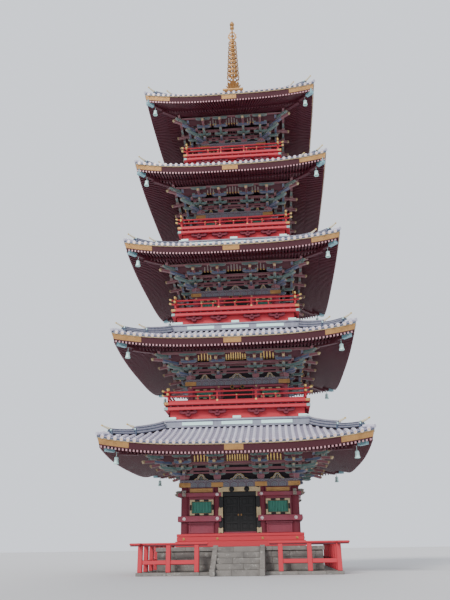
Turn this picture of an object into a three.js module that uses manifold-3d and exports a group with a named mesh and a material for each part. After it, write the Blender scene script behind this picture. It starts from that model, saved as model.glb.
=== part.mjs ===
// A five-storey timber pagoda on a stone podium, about 36 m from the ground to the tip of its finial.
// Millimetres, +Z up, front towards -Y, origin on the ground under the central axis.
import * as THREE from "three";
import { mergeVertices } from "three/addons/utils/BufferGeometryUtils.js";
import Module from "manifold-3d";

const wasm = await Module();
wasm.setup();

// Driving dimensions of the tower
const STOREYS = 5;
const STOREY_HEIGHT = 5000;
const FIRST_EAVE = 5330; // underside of the tile edge at the middle of the first eave
const EAVE_HALF = [6100, 5800, 5500, 5200, 4900]; // half the width over each eave
const COLUMN_LINE = [2610, 2386, 2160, 1936, 1710]; // centre of the corner pillars from the axis
const INNER_COLUMN_SHARE = 0.4; // inner pillars stand at this share of the column line
const PILLAR_RADIUS = 190;
const BOARD = 120; // thickness of the wall boards
const CORNER_LIFT = [400, 400, 400, 380, 320]; // how far each eave corner turns up
const SEAT_GAP = 0.3; // between pieces that are fitted into or round each other
const EDGE_STRIP = 230; // width of the rim of the eaves that turns up as one
const EDGE_PLAY = 8; // between the tile edge and the curved eave board under it

// Podium, steps and ground sill, measured from the ground
const PODIUM_HALF = 3760;
const PODIUM_TOP = 1150;
const PODIUM_CAP = 180;
const KERB_HALF = 4480; // the low bottom step of the podium, which carries its railing
const KERB_TOP = 140;
const SILL_HALF = 2940;
const SILL_TOP = 1720;
const STEP_COUNT = 5;
const STEP_DEPTH = 290;
const STAIR_HALF = 950;
const CHEEK = 220;

// Levels inside a storey, measured from its own eave
const HEAD_BEAM_BOTTOM = -1540;
const HEAD_BEAM_TOP = -1320;
const BEARING_TOP = -1200; // top of the flat plate that carries the brackets
const BRACKET_BLOCK = 220;
const BRACKET_STEP_RISE = 236;
const BRACKET_STEP_OUT = 470;
const BRACKET_ARM = 130;
const RAFTER_BREAK = 1000; // the lower rafters end this far inside the eave
const RAFTER_SLOPE = 0.3;
const LOWER_RAFTER_TIP = -345;
const UPPER_RAFTER_ROOT = -190;
const UPPER_RAFTER_TIP = -415;
const EAVE_BOARD_TOP = -10; // top of the board under the tile edge
const ROOF_EDGE_TOP = 130;
const ROOF_SHELL = 200;

// Levels of a roof's top and of the balcony on it, measured from the eave below the balcony
const ROOF_TOP = 1130;
const RIDGE_TOP = 1600;
const BALCONY_BEAM_BOTTOM = 2050;
const BALCONY_BEAM_TOP = 2200;
const DECK_BOTTOM = 2300;
const DECK_TOP = 2450;
const MID_RAIL = 2720;
const TOP_RAIL = 2930;
const RAIL_BEYOND_COLUMN = 994; // railing posts stand this far outside the pillars' centres
const DECK_BEYOND_RAIL = 176;
const RAIL_WIDTH = 90;
const RAIL_OVERHANG = 330; // the rails cross and run on past the corner posts

const PAINT = {
  stone: new THREE.MeshStandardMaterial({ color: 0x8f8b84, roughness: 0.9, metalness: 0 }),
  redLacquer: new THREE.MeshStandardMaterial({ color: 0xb02332, roughness: 0.45, metalness: 0 }),
  darkRed: new THREE.MeshStandardMaterial({ color: 0x6a1a28, roughness: 0.5, metalness: 0 }),
  blackLacquer: new THREE.MeshStandardMaterial({ color: 0x16161a, roughness: 0.35, metalness: 0 }),
  green: new THREE.MeshStandardMaterial({ color: 0x1d7a63, roughness: 0.5, metalness: 0 }),
  painted: new THREE.MeshStandardMaterial({ color: 0x3f5a66, roughness: 0.6, metalness: 0 }),
  tile: new THREE.MeshStandardMaterial({ color: 0x6e7178, roughness: 0.55, metalness: 0.3 }),
  gilt: new THREE.MeshStandardMaterial({ color: 0xb9944a, roughness: 0.35, metalness: 0.9 }),
  boards: new THREE.MeshStandardMaterial({ color: 0x6b5138, roughness: 0.8, metalness: 0 }),
};

// Solids: points are rounded to a hundredth of a millimetre, so that faces meant to lie in one plane do.
function solidOf(geometry) {
  const bare = geometry.clone();
  bare.deleteAttribute("normal");
  bare.deleteAttribute("uv");
  bare.attributes.position.array.forEach((value, i, all) => {
    all[i] = Math.round(value * 100) / 100;
  });
  const merged = mergeVertices(bare, 1e-3);
  return new wasm.Manifold(
    new wasm.Mesh({
      numProp: 3,
      vertProperties: new Float32Array(merged.attributes.position.array),
      triVerts: new Uint32Array(merged.index.array),
    }),
  );
}

function geometryOf(solid) {
  const mesh = solid.getMesh();
  const geometry = new THREE.BufferGeometry();
  geometry.setAttribute("position", new THREE.BufferAttribute(mesh.vertProperties, 3));
  geometry.setIndex(new THREE.BufferAttribute(mesh.triVerts, 1));
  return geometry;
}

const join = (pieces) => geometryOf(pieces.map(solidOf).reduce((whole, next) => whole.add(next)));
const cut = (piece, holes) =>
  geometryOf(holes.map(solidOf).reduce((whole, hole) => whole.subtract(hole), solidOf(piece)));

function box(x0, x1, y0, y1, z0, z1) {
  const geometry = new THREE.BoxGeometry(x1 - x0, y1 - y0, z1 - z0);
  return geometry.translate((x0 + x1) / 2, (y0 + y1) / 2, (z0 + z1) / 2);
}

function post(x, y, radius, z0, z1, sides = 8) {
  const geometry = new THREE.CylinderGeometry(radius, radius, z1 - z0, sides);
  return geometry.rotateX(Math.PI / 2).translate(x, y, (z0 + z1) / 2);
}

// A square tube about the axis, from half-width inner to half-width outer.
function squareRing(outer, inner, z0, z1) {
  const corners = (half) => [
    new THREE.Vector2(-half, -half),
    new THREE.Vector2(half, -half),
    new THREE.Vector2(half, half),
    new THREE.Vector2(-half, half),
  ];
  const shape = new THREE.Shape(corners(outer));
  shape.holes.push(new THREE.Path(corners(inner)));
  return new THREE.ExtrudeGeometry(shape, { depth: z1 - z0, bevelEnabled: false }).translate(0, 0, z0);
}

// A vertical plate: an outline of (distance out, height) points, extruded to a thickness about the
// plane x = 0, and facing -Y, so that "out" runs towards the front.
function verticalPlate(outline, thickness) {
  const shape = new THREE.Shape(outline.map(([out, z]) => new THREE.Vector2(out, z)));
  const geometry = new THREE.ExtrudeGeometry(shape, { depth: thickness, bevelEnabled: false });
  geometry.translate(0, 0, -thickness / 2);
  const toFront = new THREE.Matrix4().makeBasis(
    new THREE.Vector3(0, -1, 0),
    new THREE.Vector3(0, 0, 1),
    new THREE.Vector3(-1, 0, 0),
  );
  return geometry.applyMatrix4(toFront);
}

// A beam along X with ends cut back underneath, like the bow of a boat.
function boatBeam(x, y0, y1, z0, z1, half, rake) {
  const shape = new THREE.Shape([
    new THREE.Vector2(x - half + rake, z0),
    new THREE.Vector2(x + half - rake, z0),
    new THREE.Vector2(x + half, z1),
    new THREE.Vector2(x - half, z1),
  ]);
  const geometry = new THREE.ExtrudeGeometry(shape, { depth: y1 - y0, bevelEnabled: false });
  return geometry.rotateX(Math.PI / 2).translate(0, y1, 0);
}

const turned = (geometry, quarter) => geometry.clone().rotateZ((quarter * Math.PI) / 2);
const onFourSides = (geometries) =>
  [0, 1, 2, 3].flatMap((quarter) => geometries.map((geometry) => turned(geometry, quarter)));

const upstandOuter = (storey) => COLUMN_LINE[storey] + 130;
const upstandInner = (storey) => COLUMN_LINE[storey] - 150;

// How far the eaves of a storey turn up, at half-width h and at share t of the way from mid-side to the hip.
const flatHalf = (storey) => (isTop(storey) ? upstandOuter(storey) : deckHalf(storey + 1));
function lift(storey, h, t) {
  const out = THREE.MathUtils.inverseLerp(flatHalf(storey), EAVE_HALF[storey] - EDGE_STRIP, h);
  return CORNER_LIFT[storey] * Math.abs(t) ** 3 * THREE.MathUtils.clamp(out, 0, 1) ** 2;
}

// A lathe turned round a square plan: the profile is a closed loop of (half-width, height) points.
function squareLathe(profile, storey, perSide = 4) {
  const points = [...profile, profile[0]].map(([h, z]) => new THREE.Vector2(h, z));
  const geometry = new THREE.LatheGeometry(points, 4 * perSide).rotateX(Math.PI / 2);
  const position = geometry.attributes.position;
  for (let i = 0; i < position.count; i++) {
    const x = position.getX(i);
    const y = position.getY(i);
    const h = Math.round(Math.hypot(x, y) * 10) / 10;
    const angle = Math.atan2(y, x);
    const quarter = Math.round(angle / (Math.PI / 2));
    const t = Math.sin(2 * (angle - (quarter * Math.PI) / 2));
    const spot = new THREE.Vector2(h, t * h).rotateAround(new THREE.Vector2(), (quarter * Math.PI) / 2);
    position.setXYZ(i, spot.x, spot.y, position.getZ(i) + lift(storey, h, t));
  }
  return geometry;
}

// The same with plain straight sides: a frame whose section is the closed profile.
function squareFrame(profile) {
  const points = [...profile, profile[0]].map(([h, z]) => new THREE.Vector2(h * Math.SQRT2, z));
  return new THREE.LatheGeometry(points, 4).rotateX(Math.PI / 2).rotateZ(Math.PI / 4);
}

const innerColumn = (storey) => 2 * Math.round((COLUMN_LINE[storey] * INNER_COLUMN_SHARE) / 2);
function columnsOf(storey) {
  const line = COLUMN_LINE[storey];
  const inner = innerColumn(storey);
  return [-line, -inner, inner, line];
}
const railLine = (storey) => COLUMN_LINE[storey] + RAIL_BEYOND_COLUMN;
const deckHalf = (storey) => railLine(storey) + DECK_BEYOND_RAIL;
const isTop = (storey) => storey === STOREYS - 1;

// Roof surface of a storey: the tiles rise from the eave in a hollow curve.
const FINIAL_SEAT_HALF = 600;
const FINIAL_SEAT = 3100;
const roofTopHalf = (storey) => (isTop(storey) ? FINIAL_SEAT_HALF : deckHalf(storey + 1));
const roofTopHeight = (storey) => (isTop(storey) ? FINIAL_SEAT : ROOF_TOP);
function roofHeight(storey, h) {
  const share = (EAVE_HALF[storey] - h) / (EAVE_HALF[storey] - roofTopHalf(storey));
  return ROOF_EDGE_TOP + (roofTopHeight(storey) - ROOF_EDGE_TOP) * (0.76 * share + 0.24 * share * share);
}
const soffitHeight = (storey, h) => LOWER_RAFTER_TIP + RAFTER_SLOPE * (EAVE_HALF[storey] - RAFTER_BREAK - h);
const slopeStation = (storey, share) => THREE.MathUtils.lerp(EAVE_HALF[storey], roofTopHalf(storey), share);

// Where the inner upstand of the eaves meets the underside of the roof shell.
const upstandTop = (storey) =>
  isTop(storey) ? Math.round(roofHeight(storey, upstandOuter(storey)) - ROOF_SHELL) : ROOF_TOP - ROOF_SHELL;

// A mesh named after what it is, made of one closed solid.
function piece(name, geometry, material) {
  const mesh = new THREE.Mesh(geometry, material);
  mesh.name = name;
  return mesh;
}

// The stone podium: a low kerb that makes way for the steps, a plinth course, the body and a projecting cap.
function podium() {
  const half = PODIUM_HALF;
  const stairs = STAIR_HALF + CHEEK - 20 + SEAT_GAP;
  const kerb = cut(box(-KERB_HALF, KERB_HALF, -KERB_HALF, KERB_HALF, 0, KERB_TOP), [
    box(-stairs, stairs, -KERB_HALF - 10, -half - 40, -10, KERB_TOP + 10),
  ]);
  const plinth = box(-half - 40, half + 40, -half - 40, half + 40, 0, 160);
  const body = box(-half + 60, half - 60, -half + 60, half - 60, 160, PODIUM_TOP - PODIUM_CAP);
  const cap = box(-half, half, -half, half, PODIUM_TOP - PODIUM_CAP, PODIUM_TOP);
  return piece("podium", join([kerb, plinth, body, cap]), PAINT.stone);
}

// The railing on the kerb: posts with a middle rail between them and a top rail that runs on past the corner
// posts, with a way through for the steps.
const FENCE_LINE = 4320;
const FENCE_POSTS = [-4320, -3070, -1820, -607, 607, 1820, 3070];
const FENCE_POST = 100; // half the width of a post
const FENCE_MID_RAIL = [460, 630];
const FENCE_TOP_RAIL = [1210, 1340];
const FENCE_OVERHANG = 500;
function podiumRailing() {
  const bar = (x0, x1, half, [z0, z1]) => box(x0, x1, -FENCE_LINE - half, -FENCE_LINE + half, z0, z1);
  const stand = (x) => bar(x - FENCE_POST, x + FENCE_POST, FENCE_POST, [KERB_TOP, FENCE_TOP_RAIL[0] + 20]);
  const reach = FENCE_LINE + FENCE_OVERHANG;
  const gap = FENCE_POSTS[5];
  const closed = [
    ...FENCE_POSTS.map(stand),
    bar(-reach, reach, 80, FENCE_TOP_RAIL),
    bar(-FENCE_LINE, FENCE_LINE, 60, FENCE_MID_RAIL),
  ];
  const front = [
    ...FENCE_POSTS.filter((x) => Math.abs(x) >= gap).map(stand),
    bar(-reach, -gap + FENCE_OVERHANG, 80, FENCE_TOP_RAIL),
    bar(gap - FENCE_OVERHANG, reach, 80, FENCE_TOP_RAIL),
    bar(-FENCE_LINE, -gap, 60, FENCE_MID_RAIL),
    bar(gap, FENCE_LINE, 60, FENCE_MID_RAIL),
  ];
  const sides = [1, 2, 3].flatMap((quarter) => closed.map((part) => turned(part, quarter)));
  return piece("podium_railing", join([...front, ...sides]), PAINT.redLacquer);
}

// Stone steps between two cheek stones, in front of the podium.
function frontSteps() {
  const front = -PODIUM_HALF - 40;
  const rise = PODIUM_TOP / STEP_COUNT;
  const outline = [[0, 0]];
  for (let i = 0; i < STEP_COUNT; i++) {
    outline.push([(STEP_COUNT - i) * STEP_DEPTH, i * rise]);
    outline.push([(STEP_COUNT - i) * STEP_DEPTH, (i + 1) * rise]);
  }
  outline.push([0, PODIUM_TOP]);
  const treads = verticalPlate(outline, 2 * STAIR_HALF);
  const run = STEP_COUNT * STEP_DEPTH;
  const cheekOutline = [
    [0, 0],
    [run + 200, 0],
    [run + 200, 260],
    [run - 60, 330],
    [60, PODIUM_TOP + 60],
    [0, PODIUM_TOP + 60],
  ];
  const cheeks = [-1, 1].map((side) =>
    verticalPlate(cheekOutline, CHEEK).translate(side * (STAIR_HALF + CHEEK / 2 - 20), 0, 0),
  );
  return piece("front_steps", join([treads, ...cheeks]).translate(0, front, 0), PAINT.stone);
}

// The ground sill: a heavy two-step timber frame with a ledge that carries the floor.
const FLOOR_HALF = 2460;
const FLOOR_THICKNESS = 120;
function groundSill() {
  const lower = squareRing(SILL_HALF + 60, FLOOR_HALF - 110, PODIUM_TOP, PODIUM_TOP + 250);
  const upper = squareRing(SILL_HALF, FLOOR_HALF - 110, PODIUM_TOP + 250, SILL_TOP - FLOOR_THICKNESS);
  const rim = squareRing(SILL_HALF, FLOOR_HALF, SILL_TOP - FLOOR_THICKNESS, SILL_TOP);
  return piece("ground_sill", join([lower, upper, rim]), PAINT.redLacquer);
}

function groundFloor() {
  const edge = FLOOR_HALF - SEAT_GAP;
  const slab = box(-edge, edge, -edge, edge, SILL_TOP - FLOOR_THICKNESS, SILL_TOP);
  return piece("ground_floor", slab, PAINT.boards);
}

// First-storey walls. Heights are from the ground; the front wall is worked out at y = -column line.
const WALL_TOP = FIRST_EAVE + HEAD_BEAM_BOTTOM;
const TIE_PROUD = 110; // the tie beams stand this far in front of the pillars
const WAIST_TIE = [2250, 2500];
const UPPER_TIE = [3360, 3540];
const WINDOW = { x0: 1236, x1: 2364, z0: 2536, z1: 3236 };
const LINING_HALF = 2404; // half the width of the lining behind each wall away from the front
const DOOR_HALF = 770;
const DOOR_TOP = 3360;
const JAMB = 90;
const LINE = COLUMN_LINE[0];
const INNER = innerColumn(0);
const FACE = LINE + PILLAR_RADIUS;

// The boards, inner pillar, jamb and ties between the corner pillar and the doorway, left of the front.
function sideBay() {
  const edge = -LINE + PILLAR_RADIUS + SEAT_GAP;
  const boards = box(edge, -DOOR_HALF, -LINE - BOARD / 2, -LINE + BOARD / 2, SILL_TOP, WALL_TOP);
  const pillar = post(-INNER, -LINE, PILLAR_RADIUS, SILL_TOP, WALL_TOP);
  const jamb = box(-DOOR_HALF - JAMB, -DOOR_HALF, -LINE - 160, -LINE + 100, SILL_TOP, WALL_TOP);
  const ties = [WAIST_TIE, UPPER_TIE].flatMap(([z0, z1]) => [
    box(edge, -DOOR_HALF - JAMB, -FACE - TIE_PROUD, -LINE, z0, z1),
    box(-FACE - TIE_PROUD, edge, -FACE - TIE_PROUD, -FACE - SEAT_GAP, z0, z1),
  ]);
  const opening = box(-WINDOW.x1, -WINDOW.x0, -FACE - 400, -LINE + 400, WINDOW.z0, WINDOW.z1);
  return cut(join([boards, pillar, jamb, ...ties]), [opening]);
}

const mirrored = (geometry) => {
  const flipped = geometry.clone().toNonIndexed().scale(-1, 1, 1);
  const position = flipped.attributes.position;
  const swap = new THREE.Vector3();
  const other = new THREE.Vector3();
  for (let i = 0; i < position.count; i += 3) {
    swap.fromBufferAttribute(position, i);
    other.fromBufferAttribute(position, i + 1);
    position.setXYZ(i, other.x, other.y, other.z);
    position.setXYZ(i + 1, swap.x, swap.y, swap.z);
  }
  return flipped;
};

// The head of the front doorway: the upper tie and a painted panel above it, with the upper pivot sockets.
const PIVOT_X = DOOR_HALF - 50;
const PIVOT_Y = -LINE - 40;
const PIVOT_RADIUS = 22;
const PIVOT_LENGTH = 60;
const SOCKET_PLAY = 1.5;
const LEAF_GAP = 6;
const LEAF_HALF_THICKNESS = 36;
function doorHead() {
  const half = DOOR_HALF - SEAT_GAP;
  const tie = box(-half, half, -FACE - TIE_PROUD, -LINE + 80, DOOR_TOP, UPPER_TIE[1]);
  const panel = box(-half, half, -LINE - BOARD / 2, -LINE + BOARD / 2, UPPER_TIE[1], WALL_TOP);
  const bore = PIVOT_RADIUS + SOCKET_PLAY;
  const sockets = [-1, 1].map((side) =>
    post(side * PIVOT_X, PIVOT_Y, bore, DOOR_TOP - 20, DOOR_TOP + PIVOT_LENGTH + 2, 16),
  );
  return cut(join([tie, panel]), sockets);
}

// The threshold lies on the sill and holds the lower pivot sockets.
const THRESHOLD_TOP = SILL_TOP + 70;
function threshold() {
  const half = DOOR_HALF - SEAT_GAP;
  const bar = box(-half, half, -LINE - 150, -LINE + 90, SILL_TOP, THRESHOLD_TOP);
  const bore = PIVOT_RADIUS + SOCKET_PLAY;
  const sockets = [-1, 1].map((side) =>
    post(side * PIVOT_X, PIVOT_Y, bore, THRESHOLD_TOP - PIVOT_LENGTH, THRESHOLD_TOP + 20, 16),
  );
  return cut(bar, sockets);
}

// One leaf of the front door, with a rounded pivot edge, a raised rim and pins at its top and bottom.
function doorLeaf(side) {
  const z0 = THRESHOLD_TOP + LEAF_GAP;
  const z1 = DOOR_TOP - LEAF_GAP;
  const t = LEAF_HALF_THICKNESS;
  const width = PIVOT_X - LEAF_GAP / 2;
  const plan = new THREE.Shape();
  plan.moveTo(0, -t);
  plan.lineTo(width, -t);
  plan.lineTo(width, t);
  plan.lineTo(0, t);
  plan.absarc(0, 0, t, Math.PI / 2, (3 * Math.PI) / 2, false);
  const body = new THREE.ExtrudeGeometry(plan, { depth: z1 - z0, bevelEnabled: false, curveSegments: 6 });
  const rim = 90;
  const recess = box(rim, width - rim, -t - 10, -t + 14, z0 + rim, z1 - rim).translate(0, 0, -z0);
  const pinBottom = THRESHOLD_TOP - PIVOT_LENGTH + SEAT_GAP - z0;
  const pinTop = DOOR_TOP + PIVOT_LENGTH - z0;
  const pin = post(0, 0, PIVOT_RADIUS, pinBottom, pinTop, 16);
  const leaf = join([cut(body, [recess]), pin]);
  return (side < 0 ? leaf : mirrored(leaf)).translate(side * PIVOT_X, PIVOT_Y, z0);
}

// A latticed window in its frame: a field of boards with a raised rim, seated in the opening of the wall.
function windowUnit(x0, x1) {
  const g = SEAT_GAP;
  const { z0, z1 } = WINDOW;
  const rim = 80;
  const frame = box(x0 + g, x1 - g, -LINE - 130, -LINE + BOARD / 2, z0 + g, z1 - g);
  const field = box(x0 + rim, x1 - rim, -LINE - 200, -LINE - 70, z0 + rim, z1 - rim);
  return cut(frame, [field]);
}

// A wall away from the front: its two corner pillars or none, inner pillars, boards and ties, with openings.
function closedWall(ownsCorners) {
  const reach = LINE - PILLAR_RADIUS - SEAT_GAP;
  const end = ownsCorners ? LINE : reach;
  const boards = box(-end, end, -LINE - BOARD / 2, -LINE + BOARD / 2, SILL_TOP, WALL_TOP);
  const stands = ownsCorners ? [-LINE, -INNER, INNER, LINE] : [-INNER, INNER];
  const pillars = stands.map((x) => post(x, -LINE, PILLAR_RADIUS, SILL_TOP, WALL_TOP));
  const ties = [WAIST_TIE, UPPER_TIE].flatMap(([z0, z1]) =>
    ownsCorners
      ? [box(-FACE, FACE, -FACE - TIE_PROUD, -LINE, z0, z1)]
      : [
          box(-reach, reach, -FACE - TIE_PROUD, -LINE, z0, z1),
          box(-FACE - TIE_PROUD, -reach, -FACE - TIE_PROUD, -FACE - SEAT_GAP, z0, z1),
          box(reach, FACE + TIE_PROUD, -FACE - TIE_PROUD, -FACE - SEAT_GAP, z0, z1),
        ],
  );
  const deep = [-FACE - 400, -LINE + 400];
  const openings = [
    box(-DOOR_HALF, DOOR_HALF, ...deep, SILL_TOP - 50, DOOR_TOP),
    box(-WINDOW.x1, -WINDOW.x0, ...deep, WINDOW.z0, WINDOW.z1),
    box(WINDOW.x0, WINDOW.x1, ...deep, WINDOW.z0, WINDOW.z1),
  ];
  const roomHalf = LINING_HALF + 6;
  const room = box(-roomHalf, roomHalf, -LINE + BOARD / 2, -LINE + 400, SILL_TOP - 50, WALL_TOP + 50);
  return cut(join([boards, ...pillars, ...ties]), [room, ...openings]);
}

// The shut door and the two windows of a wall away from the front, on the board lining that carries them.
function wallShutters() {
  const g = SEAT_GAP;
  const back = -LINE + BOARD / 2 + g;
  const lining = box(-LINING_HALF, LINING_HALF, back, back + 50, SILL_TOP, WALL_TOP - g);
  const door = box(-DOOR_HALF + g, DOOR_HALF - g, -LINE - 110, back + 20, SILL_TOP, DOOR_TOP - g);
  const fields = [
    [-680, -60],
    [60, 680],
  ].map(([x0, x1]) => box(x0, x1, -LINE - 200, -LINE - 90, SILL_TOP + 90, DOOR_TOP - 90));
  const windows = [
    [-WINDOW.x1, -WINDOW.x0],
    [WINDOW.x0, WINDOW.x1],
  ].flatMap(([x0, x1]) => [
    windowUnit(x0, x1),
    box(x0 + 60, x1 - 60, -LINE, back + 20, WINDOW.z0 + 60, WINDOW.z1 - 60),
  ]);
  return cut(join([lining, door, ...windows]), fields);
}

function headBeam(storey) {
  const line = COLUMN_LINE[storey];
  return squareRing(line + 230, line - 110, HEAD_BEAM_BOTTOM, HEAD_BEAM_TOP);
}

function firstStoreyWalls() {
  const group = new THREE.Group();
  const frontLeft = sideBay();
  group.add(piece("front_wall_left", frontLeft, PAINT.redLacquer));
  group.add(piece("front_wall_right", mirrored(frontLeft), PAINT.redLacquer));
  group.add(piece("door_head", doorHead(), PAINT.redLacquer));
  group.add(piece("door_threshold", threshold(), PAINT.redLacquer));
  group.add(piece("door_leaf_left", doorLeaf(-1), PAINT.blackLacquer));
  group.add(piece("door_leaf_right", doorLeaf(1), PAINT.blackLacquer));
  group.add(piece("front_window_left", windowUnit(-WINDOW.x1, -WINDOW.x0), PAINT.green));
  group.add(piece("front_window_right", windowUnit(WINDOW.x0, WINDOW.x1), PAINT.green));
  for (const [side, quarter] of [["right", 1], ["back", 2], ["left", 3]]) {
    const wall = closedWall(side !== "back");
    group.add(piece(side + "_wall", turned(wall, quarter), PAINT.redLacquer));
    group.add(piece(side + "_shutters", turned(wallShutters(), quarter), PAINT.green));
  }
  return group;
}

// Upper-storey walls: twelve pillars, boards, a foot tie and the head beam, with their openings cut through.
function upperWallOpenings(storey) {
  const line = COLUMN_LINE[storey];
  const inner = innerColumn(storey);
  const bottom = DECK_TOP - STOREY_HEIGHT + 150;
  const top = HEAD_BEAM_BOTTOM - 120;
  return [
    { x0: -inner + 220, x1: inner - 220, z0: bottom, z1: top },
    { x0: inner + 220, x1: line - 230, z0: bottom + 200, z1: top - 40 },
    { x0: -line + 230, x1: -inner - 220, z0: bottom + 200, z1: top - 40 },
  ];
}

function upperWalls(storey) {
  const line = COLUMN_LINE[storey];
  const z0 = DECK_TOP - STOREY_HEIGHT;
  const frame = squareFrame([
    [line - BOARD / 2, z0],
    [line + 230, z0],
    [line + 230, z0 + 130],
    [line + BOARD / 2, z0 + 130],
    [line + BOARD / 2, HEAD_BEAM_BOTTOM],
    [line + 230, HEAD_BEAM_BOTTOM],
    [line + 230, HEAD_BEAM_TOP],
    [line - BOARD / 2, HEAD_BEAM_TOP],
  ]);
  const pillars = onFourSides(
    columnsOf(storey)
      .slice(0, 3)
      .map((x) => post(x, -line, PILLAR_RADIUS - 10, z0 + 50, HEAD_BEAM_BOTTOM + 50)),
  );
  const room = line - BOARD / 2;
  const inside = box(-room, room, -room, room, z0 - 50, HEAD_BEAM_TOP + 50);
  const openings = onFourSides(
    upperWallOpenings(storey).map(({ x0, x1, z0, z1 }) => box(x0, x1, -line - 400, -line + 400, z0, z1)),
  );
  return cut(join([frame, ...pillars]), [inside, ...openings]);
}

// The doors and lattice windows of an upper storey, on the board lining that carries them.
function upperShutters(storey) {
  const line = COLUMN_LINE[storey];
  const back = line - BOARD / 2 - SEAT_GAP;
  const lining = squareRing(back, back - 50, DECK_TOP - STOREY_HEIGHT, HEAD_BEAM_BOTTOM - SEAT_GAP);
  const g = SEAT_GAP;
  const panels = onFourSides(
    upperWallOpenings(storey).map(({ x0, x1, z0, z1 }) =>
      box(x0 + g, x1 - g, -line - 30, -back + 25, z0 + g, z1 - g),
    ),
  );
  return join([lining, ...panels]);
}

// The brackets of a storey: bearing plate, board wall, cove and purlin, and a raking arm at every pillar.
function brackets(storey) {
  const line = COLUMN_LINE[storey];
  const wallTop = Math.floor(soffitHeight(storey, line + 70));
  const purlin = line + 3 * BRACKET_STEP_OUT;
  const armBottom = (step) => BEARING_TOP + BRACKET_BLOCK + (step - 1) * BRACKET_STEP_RISE;
  const armTop = armBottom(3) + BRACKET_ARM;
  const frame = squareFrame([
    [line - 150, HEAD_BEAM_TOP],
    [line + 250, HEAD_BEAM_TOP],
    [line + 250, BEARING_TOP],
    [line + 70, BEARING_TOP],
    [line + 70, armTop - 40],
    [purlin + 75, armTop - 40],
    [purlin + 75, Math.floor(soffitHeight(storey, purlin + 75))],
    [purlin - 75, Math.floor(soffitHeight(storey, purlin + 75))],
    [purlin - 75, armTop],
    [line + 70, armTop],
    [line + 70, wallTop],
    [line - 50, wallTop],
    [line - 50, BEARING_TOP],
    [line - 150, BEARING_TOP],
  ]);
  const outline = (stretch) => [
    [0, BEARING_TOP - 20],
    [220, BEARING_TOP - 20],
    [BRACKET_STEP_OUT * stretch + 120, armBottom(1) + 60],
    [(3 * BRACKET_STEP_OUT + 60) * stretch, armBottom(3)],
    [(3 * BRACKET_STEP_OUT + 60) * stretch, armTop - 20],
    [0, armTop - 20],
  ];
  const straight = verticalPlate(outline(1), BRACKET_ARM);
  const diagonal = verticalPlate(outline(Math.SQRT2), BRACKET_ARM + 30);
  const inner = innerColumn(storey);
  const arms = onFourSides([
    straight.clone().translate(-inner, -line, 0),
    straight.clone().translate(inner, -line, 0),
    diagonal.clone().rotateZ(Math.PI / 4).translate(line, -line, 0),
  ]);
  return join([frame, ...arms]);
}

// The eaves of a storey: lower and upper rafter layers, eave board and the upstand that carries the roof,
// with a hip rafter and a wind bell at each corner.
function eaves(storey) {
  const line = COLUMN_LINE[storey];
  const edge = EAVE_HALF[storey];
  const tip = edge - RAFTER_BREAK;
  const profile = [
    [upstandInner(storey), soffitHeight(storey, upstandInner(storey))],
    [tip, LOWER_RAFTER_TIP],
    [tip, UPPER_RAFTER_ROOT],
    [edge - 100, UPPER_RAFTER_TIP],
    [edge - 40, EAVE_BOARD_TOP],
    [edge - 220, EAVE_BOARD_TOP],
    [upstandOuter(storey), soffitHeight(storey, upstandOuter(storey)) + 200],
    [upstandOuter(storey), upstandTop(storey)],
    [upstandInner(storey), upstandTop(storey)],
  ];
  const startHalf = line + 3 * BRACKET_STEP_OUT + 120;
  const start = startHalf * Math.SQRT2;
  const startZ = soffitHeight(storey, startHalf) + lift(storey, startHalf, 1);
  const end = (edge - 100) * Math.SQRT2 + 60;
  const endZ = UPPER_RAFTER_TIP + lift(storey, edge - 100, 1);
  const hip = verticalPlate(
    [
      [start, startZ + 80],
      [start, startZ - 80],
      [end, endZ - 150],
      [end, endZ + 200],
    ],
    190,
  ).rotateZ(Math.PI / 4);
  const bellOut = (edge - BELL_INSET) * Math.SQRT2;
  const bellZ = THREE.MathUtils.mapLinear(bellOut, start, end, startZ - 80, endZ - 150) + 20;
  const bell = windBell(bellOut, bellZ).rotateZ(Math.PI / 4);
  return join([squareLathe(profile, storey), ...onFourSides([hip, bell])]);
}

// A wind bell hanging from a hip rafter, on its rod, at a distance out along the front diagonal.
const BELL_INSET = 630;
const BELL_DROP = 150;
const BELL_HEIGHT = 330;
const BELL_RADIUS = 130;
function windBell(out, z) {
  const profile = [
    [0, z],
    [16, z],
    [16, z - BELL_DROP],
    [BELL_RADIUS * 0.7, z - BELL_DROP - 40],
    [BELL_RADIUS, z - BELL_DROP - BELL_HEIGHT],
    [0, z - BELL_DROP - BELL_HEIGHT],
  ];
  const points = profile.map(([r, height]) => new THREE.Vector2(r, height)).reverse();
  return new THREE.LatheGeometry(points, 6).rotateX(Math.PI / 2).translate(0, -out, 0);
}

// The roof of a storey: the curved tile shell, hip ridges with turned-up ends, and the box ridge at its top.
function roof(storey) {
  const edge = EAVE_HALF[storey];
  const top = roofTopHalf(storey);
  const topZ = roofTopHeight(storey);
  const middle = slopeStation(storey, 0.5);
  const inner = isTop(storey) ? 140 : upstandInner(storey);
  const ridge = isTop(storey)
    ? [[top, topZ], [inner, topZ], [inner, topZ - ROOF_SHELL]]
    : [
        [top, topZ],
        [top - 60, topZ],
        [top - 60, RIDGE_TOP],
        [inner, RIDGE_TOP],
        [inner, topZ - ROOF_SHELL],
      ];
  const underTop = isTop(storey)
    ? [upstandOuter(storey), upstandTop(storey) + SEAT_GAP]
    : [top - 100, topZ - ROOF_SHELL];
  const profile = [
    [edge, EAVE_BOARD_TOP + EDGE_PLAY],
    [edge, ROOF_EDGE_TOP],
    [middle, roofHeight(storey, middle)],
    ...ridge,
    underTop,
    [middle, roofHeight(storey, middle) - ROOF_SHELL],
    [edge - EDGE_STRIP, EAVE_BOARD_TOP + EDGE_PLAY],
  ];
  return join([squareLathe(profile, storey), ...onFourSides([hipRidge(storey)])]);
}

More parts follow.
